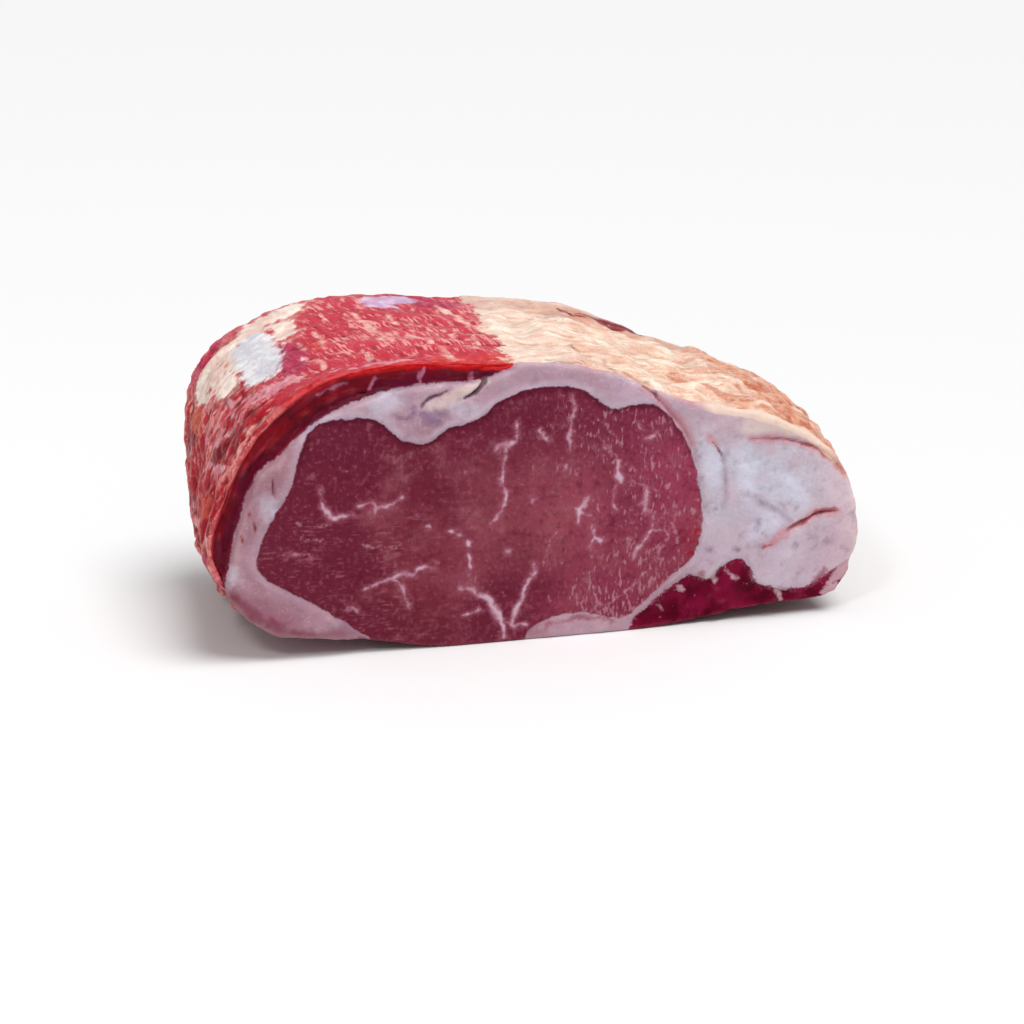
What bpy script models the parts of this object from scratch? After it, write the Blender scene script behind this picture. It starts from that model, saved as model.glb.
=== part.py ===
"""A raw boneless beef sirloin joint, cut square at both ends.

X runs along the wide cut face, Y from the front cut (-Y) to the back cut (+Y), Z is up.
The origin is under the middle of the joint, on the surface that it rests on.

The joint is one lofted skin. Four tissues run through it from cut to cut, and each is a solid
of its own: the eye muscle, the cap muscle over its left shoulder, the tail muscle under its
right end, and the fat cover that wraps the eye and holds the other two. Each tissue is the skin
cut by a long cutter that has the tissue's outline.
"""

import math

import bpy
import bmesh
from mathutils import Vector, noise

MM = 0.001

# Driving sizes, in millimetres. An outline is read on the front cut face, as (x, z).
DEPTH = 94.0             # from cut to cut
RIM_RADIUS = 2.2         # the edge round each cut face
TISSUE_GAP = 0.3         # clear space between two tissues
SHIFT_X = -4.5           # sets the origin under the middle of the finished joint

SKIN_OUTLINE = [
    (-107, 26), (-112, 38), (-109, 53), (-98, 76), (-84, 90), (-66, 99.5), (-43, 102), (-20, 100.5),
    (8, 98), (27, 93.5), (46, 85), (62, 80), (80, 76), (96, 69), (108, 59), (116, 44),
    (118, 29), (115, 14), (106, 5.5), (82, 4), (60, 1.5), (30, -0.8), (0, -1), (-28, -1), (-57, 4),
    (-80, 7.5), (-90, 9.5), (-100, 16),
]
EYE_OUTLINE = [
    (-95.5, 38), (-91, 50), (-83.5, 62), (-80, 73), (-75, 82), (-64, 84), (-54, 82.5), (-46, 75.7),
    (-37.5, 74), (-30, 78.5), (-20, 81), (-12, 86.5), (-1, 90), (11, 90), (19, 87), (26, 81.5),
    (34, 82), (42, 81.5), (49, 74.7), (55, 65), (58.6, 50), (59.4, 37), (56.5, 26), (48.6, 19.2),
    (39, 10.5), (31, 5.5), (18, 8.5), (6, 7.5), (-3, 2), (-8, -9), (-50, -9), (-57, 4), (-65, 11),
    (-77, 20), (-88, 26.5), (-94, 31.5),
]
# The cap muscle's inner edge, from its low end on the left side to its thin end on the top.
CAP_EDGE = [
    (-117, 22), (-109, 26), (-105.6, 33), (-104, 42), (-100, 55), (-95, 66.5), (-88, 72), (-79, 80),
    (-70, 86), (-60, 90), (-45, 93.5), (-30, 94), (-20, 94), (-12, 96.4), (-7, 98.8), (-4, 110),
]
CAP_LOW_END = [(-92, -6), (-97, 14), (-101, 27), (-103.5, 42)]  # its first four points, behind the cut
CAP_DROP_DEPTH = 12.0    # how far behind the front cut the low end reaches its full drop
TAIL_EDGE = [
    (33.5, -8), (34.5, 2.5), (41, 8.8), (48.5, 15), (56, 19), (62.5, 17), (67, 21), (73, 24), (78, 20.5),
    (80, 14.5), (89, 11), (99, 10.8), (107, 15), (124, 24),
]

# How far the skin swells out from its front outline: where on the outline, how far the swelling
# reaches along it, and its height at the front cut, at half depth and at the back cut.
SWELLINGS = {
    "shoulder": ((-97, 82), 36, (0, 4.0, 7.5)),
    "crown": ((-28, 102), 36, (0, 1.0, 2.8)),
    "left_side": ((-113, 41), 23, (0, -3.0, -6.0)),
    "low_left_corner": ((-104, 16), 15, (0, 3.5, 5.0)),
    "cap_fat": ((45, 88), 30, (0, 4.0, 5.5)),
    "cap_fat_end": ((80, 76), 26, (0, 4.0, -0.5)),
    "upper_right_end": ((112, 56), 17, (0, 5.5, 6.0)),
    "right_end": ((118, 28), 18, (0, 1.5, -1.0)),
}

# Relief of the skin.
FIBRE_HEIGHT = 1.3       # ridges of lean meat, which run round the joint
FIBRE_PITCH = 6.5        # along Y
FIBRE_LENGTH = 34.0      # round the joint
LUMP_HEIGHT = 1.9        # nodules of the cap fat
LUMP_SIZE = 11.0
FACE_CROWN = 1.6         # how far the cut face stands out in its middle
FACE_WAVE = 0.8

SKIN_SEGMENTS = 112
STATIONS = 15            # rings between the two rims
EYE_SEGMENTS = 84
EDGE_STEPS = 3           # per span of the cap and tail edges
FACE_RINGS = (0.1, 0.3, 0.55, 0.8)  # rings across a cut face, as shares of the way in to its spine
RING_STEP = 1.0          # a first inset, before the ring is placed
FACE_SPINE = ((-62, 50), (76, 38))  # the middle line of a cut face
CUTTER_REACH = 14.0      # how far a cutter stands out past the skin


def clear_scene():
    for leftover in list(bpy.data.objects):
        bpy.data.objects.remove(leftover, do_unlink=True)


def smoothstep(low, high, value):
    t = min(1.0, max(0.0, (value - low) / (high - low)))
    return t * t * (3.0 - 2.0 * t)


def spline_point(p0, p1, p2, p3, t):
    """A point of the Catmull-Rom curve between p1 and p2."""
    return 0.5 * (2.0 * p1 + (p2 - p0) * t + (2.0 * p0 - 5.0 * p1 + 4.0 * p2 - p3) * t * t
                  + (3.0 * p1 - p0 - 3.0 * p2 + p3) * t ** 3)


def curve_points(points, closed, steps):
    """A smooth curve through the given points, with the same number of steps in each span."""
    knots = [Vector(p) for p in points]
    last = len(knots) if closed else len(knots) - 1
    curve = []
    for i in range(last):
        if closed:
            p0, p1, p2, p3 = (knots[(i + k) % len(knots)] for k in (-1, 0, 1, 2))
        else:
            p0, p1, p2, p3 = (knots[min(max(i + k, 0), last)] for k in (-1, 0, 1, 2))
        curve += [spline_point(p0, p1, p2, p3, k / steps) for k in range(steps)]
    if not closed:
        curve.append(knots[-1].copy())
    return curve


def even_outline(points, count):
    """count points at equal spacing along the closed smooth curve through the given ones."""
    dense = curve_points(points, True, 16)
    dense.append(dense[0])
    walked = [0.0]
    for a, b in zip(dense, dense[1:]):
        walked.append(walked[-1] + (b - a).length)
    even, j = [], 0
    for i in range(count):
        target = walked[-1] * i / count
        while walked[j + 1] < target:
            j += 1
        share = (target - walked[j]) / (walked[j + 1] - walked[j])
        even.append(dense[j].lerp(dense[j + 1], share))
    return even


def outward_normals(outline):
    """The unit normals of a closed outline that runs clockwise as the front shows it."""
    count = len(outline)
    normals = []
    for i in range(count):
        along = outline[(i + 1) % count] - outline[i - 1]
        normals.append(Vector((-along.y, along.x)).normalized())
    return normals


def swell(x, z, u):
    """How far the skin stands out from its front outline, at u from 0 at the front to 1 at the back."""
    total = 0.0
    for (at_x, at_z), reach, (front, middle, back) in SWELLINGS.values():
        near = math.exp(-((x - at_x) ** 2 + (z - at_z) ** 2) / reach ** 2)
        # the parabola through the three heights
        total += near * (front * (1 - u) * (1 - 2 * u) + 4 * middle * u * (1 - u) + back * u * (2 * u - 1))
    return total


def relief(x, y, z):
    """The ridges of the lean meat and the nodules of the cap fat."""
    fibres = noise.noise(Vector((x / FIBRE_LENGTH, y / FIBRE_PITCH, z / FIBRE_LENGTH))) * FIBRE_HEIGHT * 1.6
    lumps = noise.noise(Vector((x, y, z)) / LUMP_SIZE) * LUMP_HEIGHT * 1.4
    lumps += noise.noise(Vector((x, y, z)) / LUMP_SIZE * 2.3) * LUMP_HEIGHT * 0.6
    fatty = smoothstep(-8, 12, x) * smoothstep(20, 45, z)
    underside = smoothstep(18, 6, z)
    return (fibres * (1.0 - fatty) + lumps * fatty) * (1.0 - 0.8 * underside)


def rim_inset(from_end):
    """How far the rounded rim draws the skin in, near a cut face."""
    if from_end >= RIM_RADIUS:
        return 0.0
    return RIM_RADIUS - math.sqrt(max(0.0, RIM_RADIUS ** 2 - (RIM_RADIUS - from_end) ** 2))


def station_depths():
    rim = [0.0, 0.12 * RIM_RADIUS, 0.45 * RIM_RADIUS, RIM_RADIUS]
    inner = [RIM_RADIUS + (DEPTH - 2.0 * RIM_RADIUS) * (i + 1) / (STATIONS + 1) for i in range(STATIONS)]
    return rim + inner + [DEPTH - d for d in reversed(rim)]


def skin_ring(outline, normals, depth):
    y = depth - DEPTH / 2
    from_end = min(depth, DEPTH - depth)
    ring = []
    for p, n in zip(outline, normals):
        out = swell(p.x, p.y, depth / DEPTH) + relief(p.x, y, p.y) * smoothstep(0, 5, from_end)
        q = p + n * (out - rim_inset(from_end))
        ring.append(Vector((q.x + SHIFT_X, y, max(0.0, q.y))) * MM)
    return ring


def build_skin():
    """The whole joint: a ring at the front cut, extruded ring by ring to the back cut, then closed."""
    outline = even_outline(SKIN_OUTLINE, SKIN_SEGMENTS)
    normals = outward_normals(outline)
    bm = bmesh.new()
    start = bmesh.ops.create_circle(bm, segments=SKIN_SEGMENTS, radius=1.0)["verts"]
    ring_edges = list(bm.edges)
    ring_verts = list(start)
    depths = station_depths()
    for vert, place in zip(ring_verts, skin_ring(outline, normals, depths[0])):
        vert.co = place
    ends = [ring_edges]
    for depth in depths[1:]:
        grown = bmesh.ops.extrude_edge_only(bm, edges=ring_edges)["geom"]
        fresh = {e for e in grown if isinstance(e, bmesh.types.BMVert)}
        follow = {}
        for vert in ring_verts:
            follow[vert] = next(e.other_vert(vert) for e in vert.link_edges if e.other_vert(vert) in fresh)
        ring_verts = [follow[vert] for vert in ring_verts]
        ring_edges = [e for e in grown if isinstance(e, bmesh.types.BMEdge)
                      and e.verts[0] in fresh and e.verts[1] in fresh]
        for vert, place in zip(ring_verts, skin_ring(outline, normals, depth)):
            vert.co = place
    ends.append(ring_edges)
    for edges in ends:
        face = bmesh.ops.contextual_create(bm, geom=edges)["faces"][0]
        crown_face(bm, face)
    bmesh.ops.recalc_face_normals(bm, faces=bm.faces)
    bmesh.ops.triangulate(bm, faces=[f for f in bm.faces if len(f.verts) > 4])
    mesh = bpy.data.meshes.new("joint_skin")
    bm.to_mesh(mesh)
    bm.free()
    return mesh


def crown_face(bm, face):
    """Rings across a cut face, drawn in towards its spine, which give it its crown and slight waves."""
    outward = -1.0 if face.calc_center_median().y < 0 else 1.0
    left, right = (Vector(p) for p in FACE_SPINE)
    along = right - left
    rim = []
    for vert in face.verts:
        p = Vector((vert.co.x, vert.co.z)) / MM
        share = min(1.0, max(0.0, (p - left).dot(along) / along.length_squared))
        rim.append((p, left + along * share))
    for inward in FACE_RINGS:
        before = set(face.verts)
        bmesh.ops.inset_individual(bm, faces=[face], thickness=RING_STEP * MM, use_even_offset=False)
        loop_verts = [v for v in face.verts if v not in before]
        for vert, (edge, spine) in zip(loop_verts, rim):
            p = edge.lerp(spine, inward)
            wave = noise.noise(Vector((p.x, outward * 40, p.y)) / 28.0) * FACE_WAVE
            rise = FACE_CROWN * math.sin(0.5 * math.pi * inward) + wave
            vert.co = Vector((p.x, outward * (DEPTH / 2 + rise), p.y)) * MM


def prism(name, sections):
    """A closed cutter through sections, each (y, outline), and hidden from renders."""
    bm = bmesh.new()
    count = len(sections[0][1])
    ring_verts = list(bmesh.ops.create_circle(bm, segments=count, radius=1.0)["verts"])
    ring_edges = list(bm.edges)
    ends = [ring_edges]
    for number, (y, outline) in enumerate(sections):
        if number:
            grown = bmesh.ops.extrude_edge_only(bm, edges=ring_edges)["geom"]
            fresh = {e for e in grown if isinstance(e, bmesh.types.BMVert)}
            ring_verts = [next(e.other_vert(v) for e in v.link_edges if e.other_vert(v) in fresh)
                          for v in ring_verts]
            ring_edges = [e for e in grown if isinstance(e, bmesh.types.BMEdge)
                          and e.verts[0] in fresh and e.verts[1] in fresh]
        for vert, p in zip(ring_verts, outline):
            vert.co = Vector((p.x + SHIFT_X, y, p.y)) * MM
    ends.append(ring_edges)
    # one fixed diagonal, so that a cutter and its widened twin bend alike
    bmesh.ops.triangulate(bm, faces=bm.faces, quad_method="FIXED")
    for edges in ends:
        bmesh.ops.contextual_create(bm, geom=edges)
    bmesh.ops.recalc_face_normals(bm, faces=bm.faces)
    mesh = bpy.data.meshes.new(name)
    bm.to_mesh(mesh)
    bm.free()
    cutter = bpy.data.objects.new(name, mesh)
    bpy.context.scene.collection.objects.link(cutter)
    cutter.hide_render = True
    cutter.display_type = "WIRE"
    return cutter


def widened(outline, gap):
    return [p + n * gap for p, n in zip(outline, outward_normals(outline))]


def cutters(gap):
    """The three tissue cutters, each widened by gap."""
    front, back = -DEPTH / 2 - CUTTER_REACH, DEPTH / 2 + CUTTER_REACH
    tag = "_wide" if gap else ""

    eye = widened(even_outline(EYE_OUTLINE, EYE_SEGMENTS), gap)

    def cap_section(points):
        edge = curve_points(points, False, EDGE_STEPS)
        beyond = [Vector(p) for p in ((-2, 135), (-150, 135), (-150, 10))]
        # the outline runs clockwise: the edge is walked from its top end down to its low end
        return widened(list(reversed(edge)) + list(reversed(beyond)), gap)

    at_cut = cap_section(CAP_EDGE)
    behind = cap_section(CAP_LOW_END + CAP_EDGE[len(CAP_LOW_END):])
    dropped = -DEPTH / 2 + CAP_DROP_DEPTH

    tail_edge = curve_points(TAIL_EDGE, False, EDGE_STEPS)
    tail = widened(tail_edge + [Vector((140, -20)), Vector((36, -20))], gap)

    return {
        "eye": prism("eye_cutter" + tag, [(front, eye), (back, eye)]),
        "cap": prism("cap_cutter" + tag, [(front, at_cut), (-DEPTH / 2, at_cut), (dropped, behind),
                                          (back, behind)]),
        "tail": prism("tail_cutter" + tag, [(front, tail), (back, tail)]),
    }


def material(name, colour, roughness):
    made = bpy.data.materials.new(name)
    made.use_nodes = True
    shader = made.node_tree.nodes["Principled BSDF"]
    shader.inputs["Base Color"].default_value = (*colour, 1.0)
    shader.inputs["Roughness"].default_value = roughness
    shader.inputs["Metallic"].default_value = 0.0
    made.diffuse_color = (*colour, 1.0)
    return made


def tissue(name, skin, finish, cuts):
    """One solid: the skin with Boolean cuts, each (operation, cutter)."""
    mesh = skin.copy()
    mesh.name = name
    mesh.materials.append(finish)
    solid = bpy.data.objects.new(name, mesh)
    bpy.context.scene.collection.objects.link(solid)
    for operation, cutter in cuts:
        cut = solid.modifiers.new(cutter.name, "BOOLEAN")
        cut.operation = operation
        cut.solver = "EXACT"
        cut.object = cutter
    return solid


def build():
    clear_scene()
    skin = build_skin()
    exact = cutters(0.0)
    wide = cutters(TISSUE_GAP)
    lean = material("lean_eye", (0.21, 0.036, 0.055), 0.38)
    bright = material("lean_cap", (0.45, 0.075, 0.10), 0.36)
    dark = material("lean_tail", (0.13, 0.008, 0.022), 0.36)
    fat = material("fat", (0.66, 0.47, 0.43), 0.42)
    tissue("eye_muscle", skin, lean, [("INTERSECT", exact["eye"])])
    tissue("cap_muscle", skin, bright, [("INTERSECT", exact["cap"])])
    tissue("tail_muscle", skin, dark, [("INTERSECT", exact["tail"])])
    tissue("fat_cover", skin, fat, [("DIFFERENCE", wide[key]) for key in ("eye", "cap", "tail")])


build()
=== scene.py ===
# %% [markdown]
# # A raw beef sirloin joint
#
# The joint is a short length of a long piece of meat, cut square at both ends, so its four
# tissues run through it from cut to cut: the big marbled eye muscle, a bright cap muscle over
# the left shoulder, a dark tail muscle low on the right, and the fat cover between and around
# them. The packed model gives its place and size. This file gives it its looks.

# %% Load the packed model
import math
import time
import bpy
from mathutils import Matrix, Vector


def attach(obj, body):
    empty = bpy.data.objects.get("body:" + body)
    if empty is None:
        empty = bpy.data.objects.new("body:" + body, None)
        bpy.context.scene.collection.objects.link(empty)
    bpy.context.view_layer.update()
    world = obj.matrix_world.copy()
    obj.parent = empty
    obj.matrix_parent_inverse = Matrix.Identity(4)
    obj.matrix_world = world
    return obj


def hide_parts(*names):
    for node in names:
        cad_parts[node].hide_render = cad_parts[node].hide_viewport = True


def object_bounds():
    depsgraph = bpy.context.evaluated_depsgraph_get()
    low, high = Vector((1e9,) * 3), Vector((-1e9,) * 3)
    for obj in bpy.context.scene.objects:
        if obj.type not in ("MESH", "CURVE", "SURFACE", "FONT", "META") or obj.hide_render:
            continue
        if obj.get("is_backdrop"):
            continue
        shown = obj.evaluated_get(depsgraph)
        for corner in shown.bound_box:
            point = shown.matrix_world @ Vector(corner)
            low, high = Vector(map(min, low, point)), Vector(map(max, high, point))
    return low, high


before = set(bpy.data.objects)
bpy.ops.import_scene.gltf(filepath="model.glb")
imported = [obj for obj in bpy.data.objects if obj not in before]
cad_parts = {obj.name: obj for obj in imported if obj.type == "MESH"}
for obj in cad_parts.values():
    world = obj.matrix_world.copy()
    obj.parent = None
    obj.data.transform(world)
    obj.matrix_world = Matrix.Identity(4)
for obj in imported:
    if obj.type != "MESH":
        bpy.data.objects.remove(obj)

import types

import bmesh
import bpy
import numpy as np
from mathutils import Vector, noise

began = time.time()
MM = 0.001


def so_far():
    return f"after {time.time() - began:.0f} s"


def in_mm(box):
    return [[round(c / MM, 1) for c in corner] for corner in box]


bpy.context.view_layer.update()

# %% [markdown]
# ## The named sizes
#
# A joint of meat has no sizes of its own that could be looked up, only those of the animal, so
# its outlines are read off the cut face. They could be traced by hand in the viewport, but named
# numbers can be checked and changed. All of them are in millimetres. An outline is given on the
# front cut face as (x, z), and a place on the outer skin as (x, y, z). They are the solids' own
# sizes, because every piece here has to fill its solid. One number, SHIFT_X, moves them all into
# the model's frame.

# %% Sizes that the solids have too
DEPTH = 94.0
HALF = DEPTH / 2
RIM_RADIUS = 2.2
SHIFT_X = -4.5

SKIN_OUTLINE = [
    (-107, 26), (-112, 38), (-109, 53), (-98, 76), (-84, 90), (-66, 99.5), (-43, 102), (-20, 100.5),
    (8, 98), (27, 93.5), (46, 85), (62, 80), (80, 76), (96, 69), (108, 59), (116, 44),
    (118, 29), (115, 14), (106, 5.5), (82, 4), (60, 1.5), (30, -0.8), (0, -1), (-28, -1), (-57, 4),
    (-80, 7.5), (-90, 9.5), (-100, 16),
]
EYE_OUTLINE = [
    (-95.5, 38), (-91, 50), (-83.5, 62), (-80, 73), (-75, 82), (-64, 84), (-54, 82.5), (-46, 75.7),
    (-37.5, 74), (-30, 78.5), (-20, 81), (-12, 86.5), (-1, 90), (11, 90), (19, 87), (26, 81.5),
    (34, 82), (42, 81.5), (49, 74.7), (55, 65), (58.6, 50), (59.4, 37), (56.5, 26), (48.6, 19.2),
    (39, 10.5), (31, 5.5), (18, 8.5), (6, 7.5), (-3, 2), (-8, -9), (-50, -9), (-57, 4), (-65, 11),
    (-77, 20), (-88, 26.5), (-94, 31.5),
]
CAP_EDGE = [
    (-117, 22), (-109, 26), (-105.6, 33), (-104, 42), (-100, 55), (-95, 66.5), (-88, 72), (-79, 80),
    (-70, 86), (-60, 90), (-45, 93.5), (-30, 94), (-20, 94), (-12, 96.4), (-7, 98.8), (-4, 110),
]
CAP_LOW_END = [(-92, -6), (-97, 14), (-101, 27), (-103.5, 42)]
CAP_DROP_DEPTH = 12.0
CAP_BEYOND = [(-2, 135), (-150, 135), (-150, 10)]
TAIL_EDGE = [
    (33.5, -8), (34.5, 2.5), (41, 8.8), (48.5, 15), (56, 19), (62.5, 17), (67, 21), (73, 24), (78, 20.5),
    (80, 14.5), (89, 11), (99, 10.8), (107, 15), (124, 24),
]
TAIL_BEYOND = [(140, -20), (36, -20)]

# The place on the outline, the reach, and the height at the front, the middle and the back.
SWELLINGS = {
    "shoulder": ((-97, 82), 36, (0, 4.0, 7.5)),
    "crown": ((-28, 102), 36, (0, 1.0, 2.8)),
    "left_side": ((-113, 41), 23, (0, -3.0, -6.0)),
    "low_left_corner": ((-104, 16), 15, (0, 3.5, 5.0)),
    "cap_fat": ((45, 88), 30, (0, 4.0, 5.5)),
    "cap_fat_end": ((80, 76), 26, (0, 4.0, -0.5)),
    "upper_right_end": ((112, 56), 17, (0, 5.5, 6.0)),
    "right_end": ((118, 28), 18, (0, 1.5, -1.0)),
}
FIBRE_HEIGHT, FIBRE_PITCH, FIBRE_LENGTH = 1.3, 6.5, 34.0
LUMP_HEIGHT, LUMP_SIZE = 1.9, 11.0
FINER_LUMPS = 2.3                        # the second lumps are so many times smaller
FATTY_X, FATTY_Z = (-8, 12), (20, 45)    # across these the ridges of lean give way to lumps of fat
LOW_Z = (18, 6)                          # down this height the relief fades
RELIEF_START = (0, 5)                    # and it grows to its full height so far behind a cut
FACE_CROWN, FACE_WAVE, FACE_WAVE_SIZE = 1.6, 0.8, 28
FACE_RINGS = (0.1, 0.3, 0.55, 0.8)       # shares of the way from the face's rim to its spine
FACE_SPINE = ((-62, 50), (76, 38))
print(len(SKIN_OUTLINE), "points round the skin,", len(EYE_OUTLINE), "round the eye")

# %% Sizes of this finer model
SKIN_SEGMENTS, STATIONS = 240, 44
FINE_STEPS = 8           # per span of a tissue's edge
VOXEL = 0.71
CUTTER_REACH = 14.0      # how far the cutters stand out past the cut faces
print("the skin's points will be", VOXEL, "mm apart")

# %% [markdown]
# ## Curves
#
# Butchered meat has no straight lines. Its outlines could be Bezier curves, whose handles have to
# be set by eye. A Catmull-Rom curve passes through every point that it is given, so a few points
# read off the cut face are enough for a smooth outline.

# %% Smooth outlines
def smoothstep(low, high, value):
    t = np.clip((value - low) / (high - low), 0.0, 1.0)
    return t * t * (3.0 - 2.0 * t)


def curve_points(points, closed, steps):
    knots = [np.array(p, float) for p in points]
    last = len(knots) if closed else len(knots) - 1
    curve = []
    for i in range(last):
        if closed:
            a, b, c, d = (knots[(i + k) % len(knots)] for k in (-1, 0, 1, 2))
        else:
            a, b, c, d = (knots[min(max(i + k, 0), last)] for k in (-1, 0, 1, 2))
        for k in range(steps):
            t = k / steps
            curve.append(0.5 * (2 * b + (c - a) * t + (2 * a - 5 * b + 4 * c - d) * t * t
                                + (3 * b - a - 3 * c + d) * t ** 3))
    if not closed:
        curve.append(knots[-1])
    return curve


def even_outline(points, count):
    """count points at equal spacing along a closed smooth curve."""
    dense = np.array(curve_points(points, True, 16) + [np.array(points[0], float)])
    walked = np.concatenate([[0.0], np.cumsum(np.linalg.norm(np.diff(dense, axis=0), axis=1))])
    targets = np.arange(count) * walked[-1] / count
    return np.stack([np.interp(targets, walked, dense[:, k]) for k in (0, 1)], axis=1)


skin_line = even_outline(SKIN_OUTLINE, SKIN_SEGMENTS)
along_skin = np.roll(skin_line, -1, axis=0) - np.roll(skin_line, 1, axis=0)
skin_normals = np.stack([-along_skin[:, 1], along_skin[:, 0]], axis=1)
skin_normals /= np.linalg.norm(skin_normals, axis=1)[:, None]
girth = np.linalg.norm(np.roll(skin_line, -1, axis=0) - skin_line, axis=1).sum()
print(f"the joint is {girth:.0f} mm round at its front cut")

# %% [markdown]
# ## The shape of the skin
#
# The outer skin is one closed surface round all the tissues. Seen from the side it isn't a plain
# extrusion: the shoulder and the cap fat swell out behind the front cut, and the low corners draw
# in. It could be pushed into shape with sculpting brushes, but no one could repeat that. So each
# swelling is a soft bump round one place of the outline, with a height at the front, the middle
# and the back. Then come the big ridges of the lean and the nodules of the fat.

# %% Swellings and big relief
def swell(x, z, u):
    """How far the skin swells out at a place of the outline. u goes from 0 at the front to 1 behind."""
    total = 0.0
    for (at_x, at_z), reach, (front, middle, back) in SWELLINGS.values():
        near = np.exp(-((x - at_x) ** 2 + (z - at_z) ** 2) / reach ** 2)
        total = total + near * (front * (1 - u) * (1 - 2 * u) + 4 * middle * u * (1 - u)
                                + back * u * (2 * u - 1))
    return total


def noise_at(x, y, z):
    return noise.noise(Vector((x, y, z)))


def big_relief(x, y, z):
    """The height of the lean's ridges or the fat's lumps. Noise stays well under 1, hence the factors."""
    fibres = noise_at(x / FIBRE_LENGTH, y / FIBRE_PITCH, z / FIBRE_LENGTH) * FIBRE_HEIGHT * 1.6
    lumps = noise_at(x / LUMP_SIZE, y / LUMP_SIZE, z / LUMP_SIZE) * LUMP_HEIGHT * 1.4
    fine = FINER_LUMPS / LUMP_SIZE
    lumps += noise_at(x * fine, y * fine, z * fine) * LUMP_HEIGHT * 0.6
    fatty = smoothstep(*FATTY_X, x) * smoothstep(*FATTY_Z, z)
    return (fibres * (1.0 - fatty) + lumps * fatty) * (1.0 - 0.8 * smoothstep(*LOW_Z, z))


def rim_inset(from_end):
    """How far the rounded rim of a cut face draws the skin in."""
    if from_end >= RIM_RADIUS:
        return 0.0
    return RIM_RADIUS - math.sqrt(max(0.0, RIM_RADIUS ** 2 - (RIM_RADIUS - from_end) ** 2))


def skin_ring(depth):
    """The ring of the skin at a depth behind the front cut, as (x, y, z) in millimetres."""
    from_end = min(depth, DEPTH - depth)
    y = depth - HALF
    ring = []
    for (x, z), (nx, nz) in zip(skin_line, skin_normals):
        out = swell(x, z, depth / DEPTH) + big_relief(x, y, z) * smoothstep(*RELIEF_START, from_end)
        out -= rim_inset(from_end)
        ring.append((x + nx * out, y, max(0.0, z + nz * out)))
    return ring


rim_depths = [RIM_RADIUS * share for share in (0.0, 0.05, 0.15, 0.3, 0.5, 0.75, 1.0)]
inner_depths = [RIM_RADIUS + (DEPTH - 2 * RIM_RADIUS) * (i + 1) / (STATIONS + 1) for i in range(STATIONS)]
depths = rim_depths + inner_depths + [DEPTH - d for d in reversed(rim_depths)]
skin_rings = [skin_ring(depth) for depth in depths]
print(len(skin_rings), "rings of", SKIN_SEGMENTS, "points")

# %% [markdown]
# ## One loft for everything
#
# The skin could be a curve with a bevel, but that has the same outline all along. Here a circle
# of edges is extruded ring by ring, and each new ring is moved to its place. That makes the
# joint's skin, and it also makes the long cutters that part the tissues. The cut faces of the
# skin get a few rings of their own, so that they can stand out in the middle as soft meat does.

# %% Loft and cut faces
def to_frame(x, y, z):
    return Vector((x + SHIFT_X, y, z)) * MM


def loft(name, rings, finish_end=None):
    bm = bmesh.new()
    verts = list(bmesh.ops.create_circle(bm, segments=len(rings[0]), radius=1.0)["verts"])
    edges = list(bm.edges)
    ends = [edges]
    for number, ring in enumerate(rings):
        if number:
            grown = bmesh.ops.extrude_edge_only(bm, edges=edges)["geom"]
            fresh = {e for e in grown if isinstance(e, bmesh.types.BMVert)}
            verts = [next(e.other_vert(v) for e in v.link_edges if e.other_vert(v) in fresh) for v in verts]
            edges = [e for e in grown if isinstance(e, bmesh.types.BMEdge)
                     and e.verts[0] in fresh and e.verts[1] in fresh]
        for vert, place in zip(verts, ring):
            vert.co = to_frame(*place)
    ends.append(edges)
    for end in ends:
        face = bmesh.ops.contextual_create(bm, geom=end)["faces"][0]
        if finish_end:
            finish_end(bm, face)
    bmesh.ops.recalc_face_normals(bm, faces=bm.faces)
    bmesh.ops.triangulate(bm, faces=[f for f in bm.faces if len(f.verts) > 4])
    mesh = bpy.data.meshes.new(name)
    bm.to_mesh(mesh)
    bm.free()
    made = bpy.data.objects.new(name, mesh)
    bpy.context.scene.collection.objects.link(made)
    return made


def crown_face(bm, face):
    """Rings across a cut face, drawn in towards its spine."""
    outward = -1.0 if face.calc_center_median().y < 0 else 1.0
    left, right = (np.array(p, float) for p in FACE_SPINE)
    along = right - left
    rim = []
    for vert in face.verts:
        p = np.array((vert.co.x / MM - SHIFT_X, vert.co.z / MM))
        share = min(1.0, max(0.0, (p - left) @ along / (along @ along)))
        rim.append((p, left + along * share))
    for inward in FACE_RINGS:
        before = set(face.verts)
        bmesh.ops.inset_individual(bm, faces=[face], thickness=MM, use_even_offset=False)
        fresh = [v for v in face.verts if v not in before]
        for vert, (edge, spine) in zip(fresh, rim):
            x, z = edge + (spine - edge) * inward
            wave = noise_at(*(c / FACE_WAVE_SIZE for c in (x, outward * 40, z))) * FACE_WAVE
            rise = FACE_CROWN * math.sin(0.5 * math.pi * inward) + wave
            vert.co = to_frame(x, outward * (HALF + rise), z)


joint = loft("whole_joint", skin_rings, crown_face)
print("the whole joint has", len(joint.data.polygons), "faces before it is made fine")

# %% [markdown]
# ## A fine, even skin
#
# The slits, seams and grain need points well under a millimetre apart, everywhere. Subdividing
# the loft would crowd them at its rims and leave them sparse on its sides. A voxel remesh spreads
# them evenly, and it keeps the shape closed, which the tissue cuts need.

# %% Voxel remesh
def applied(holder):
    """Puts an object's modifiers into its mesh."""
    graph = bpy.context.evaluated_depsgraph_get()
    mesh = bpy.data.meshes.new_from_object(holder.evaluated_get(graph), depsgraph=graph)
    holder.modifiers.clear()
    old, holder.data = holder.data, mesh
    bpy.data.meshes.remove(old)


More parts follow.
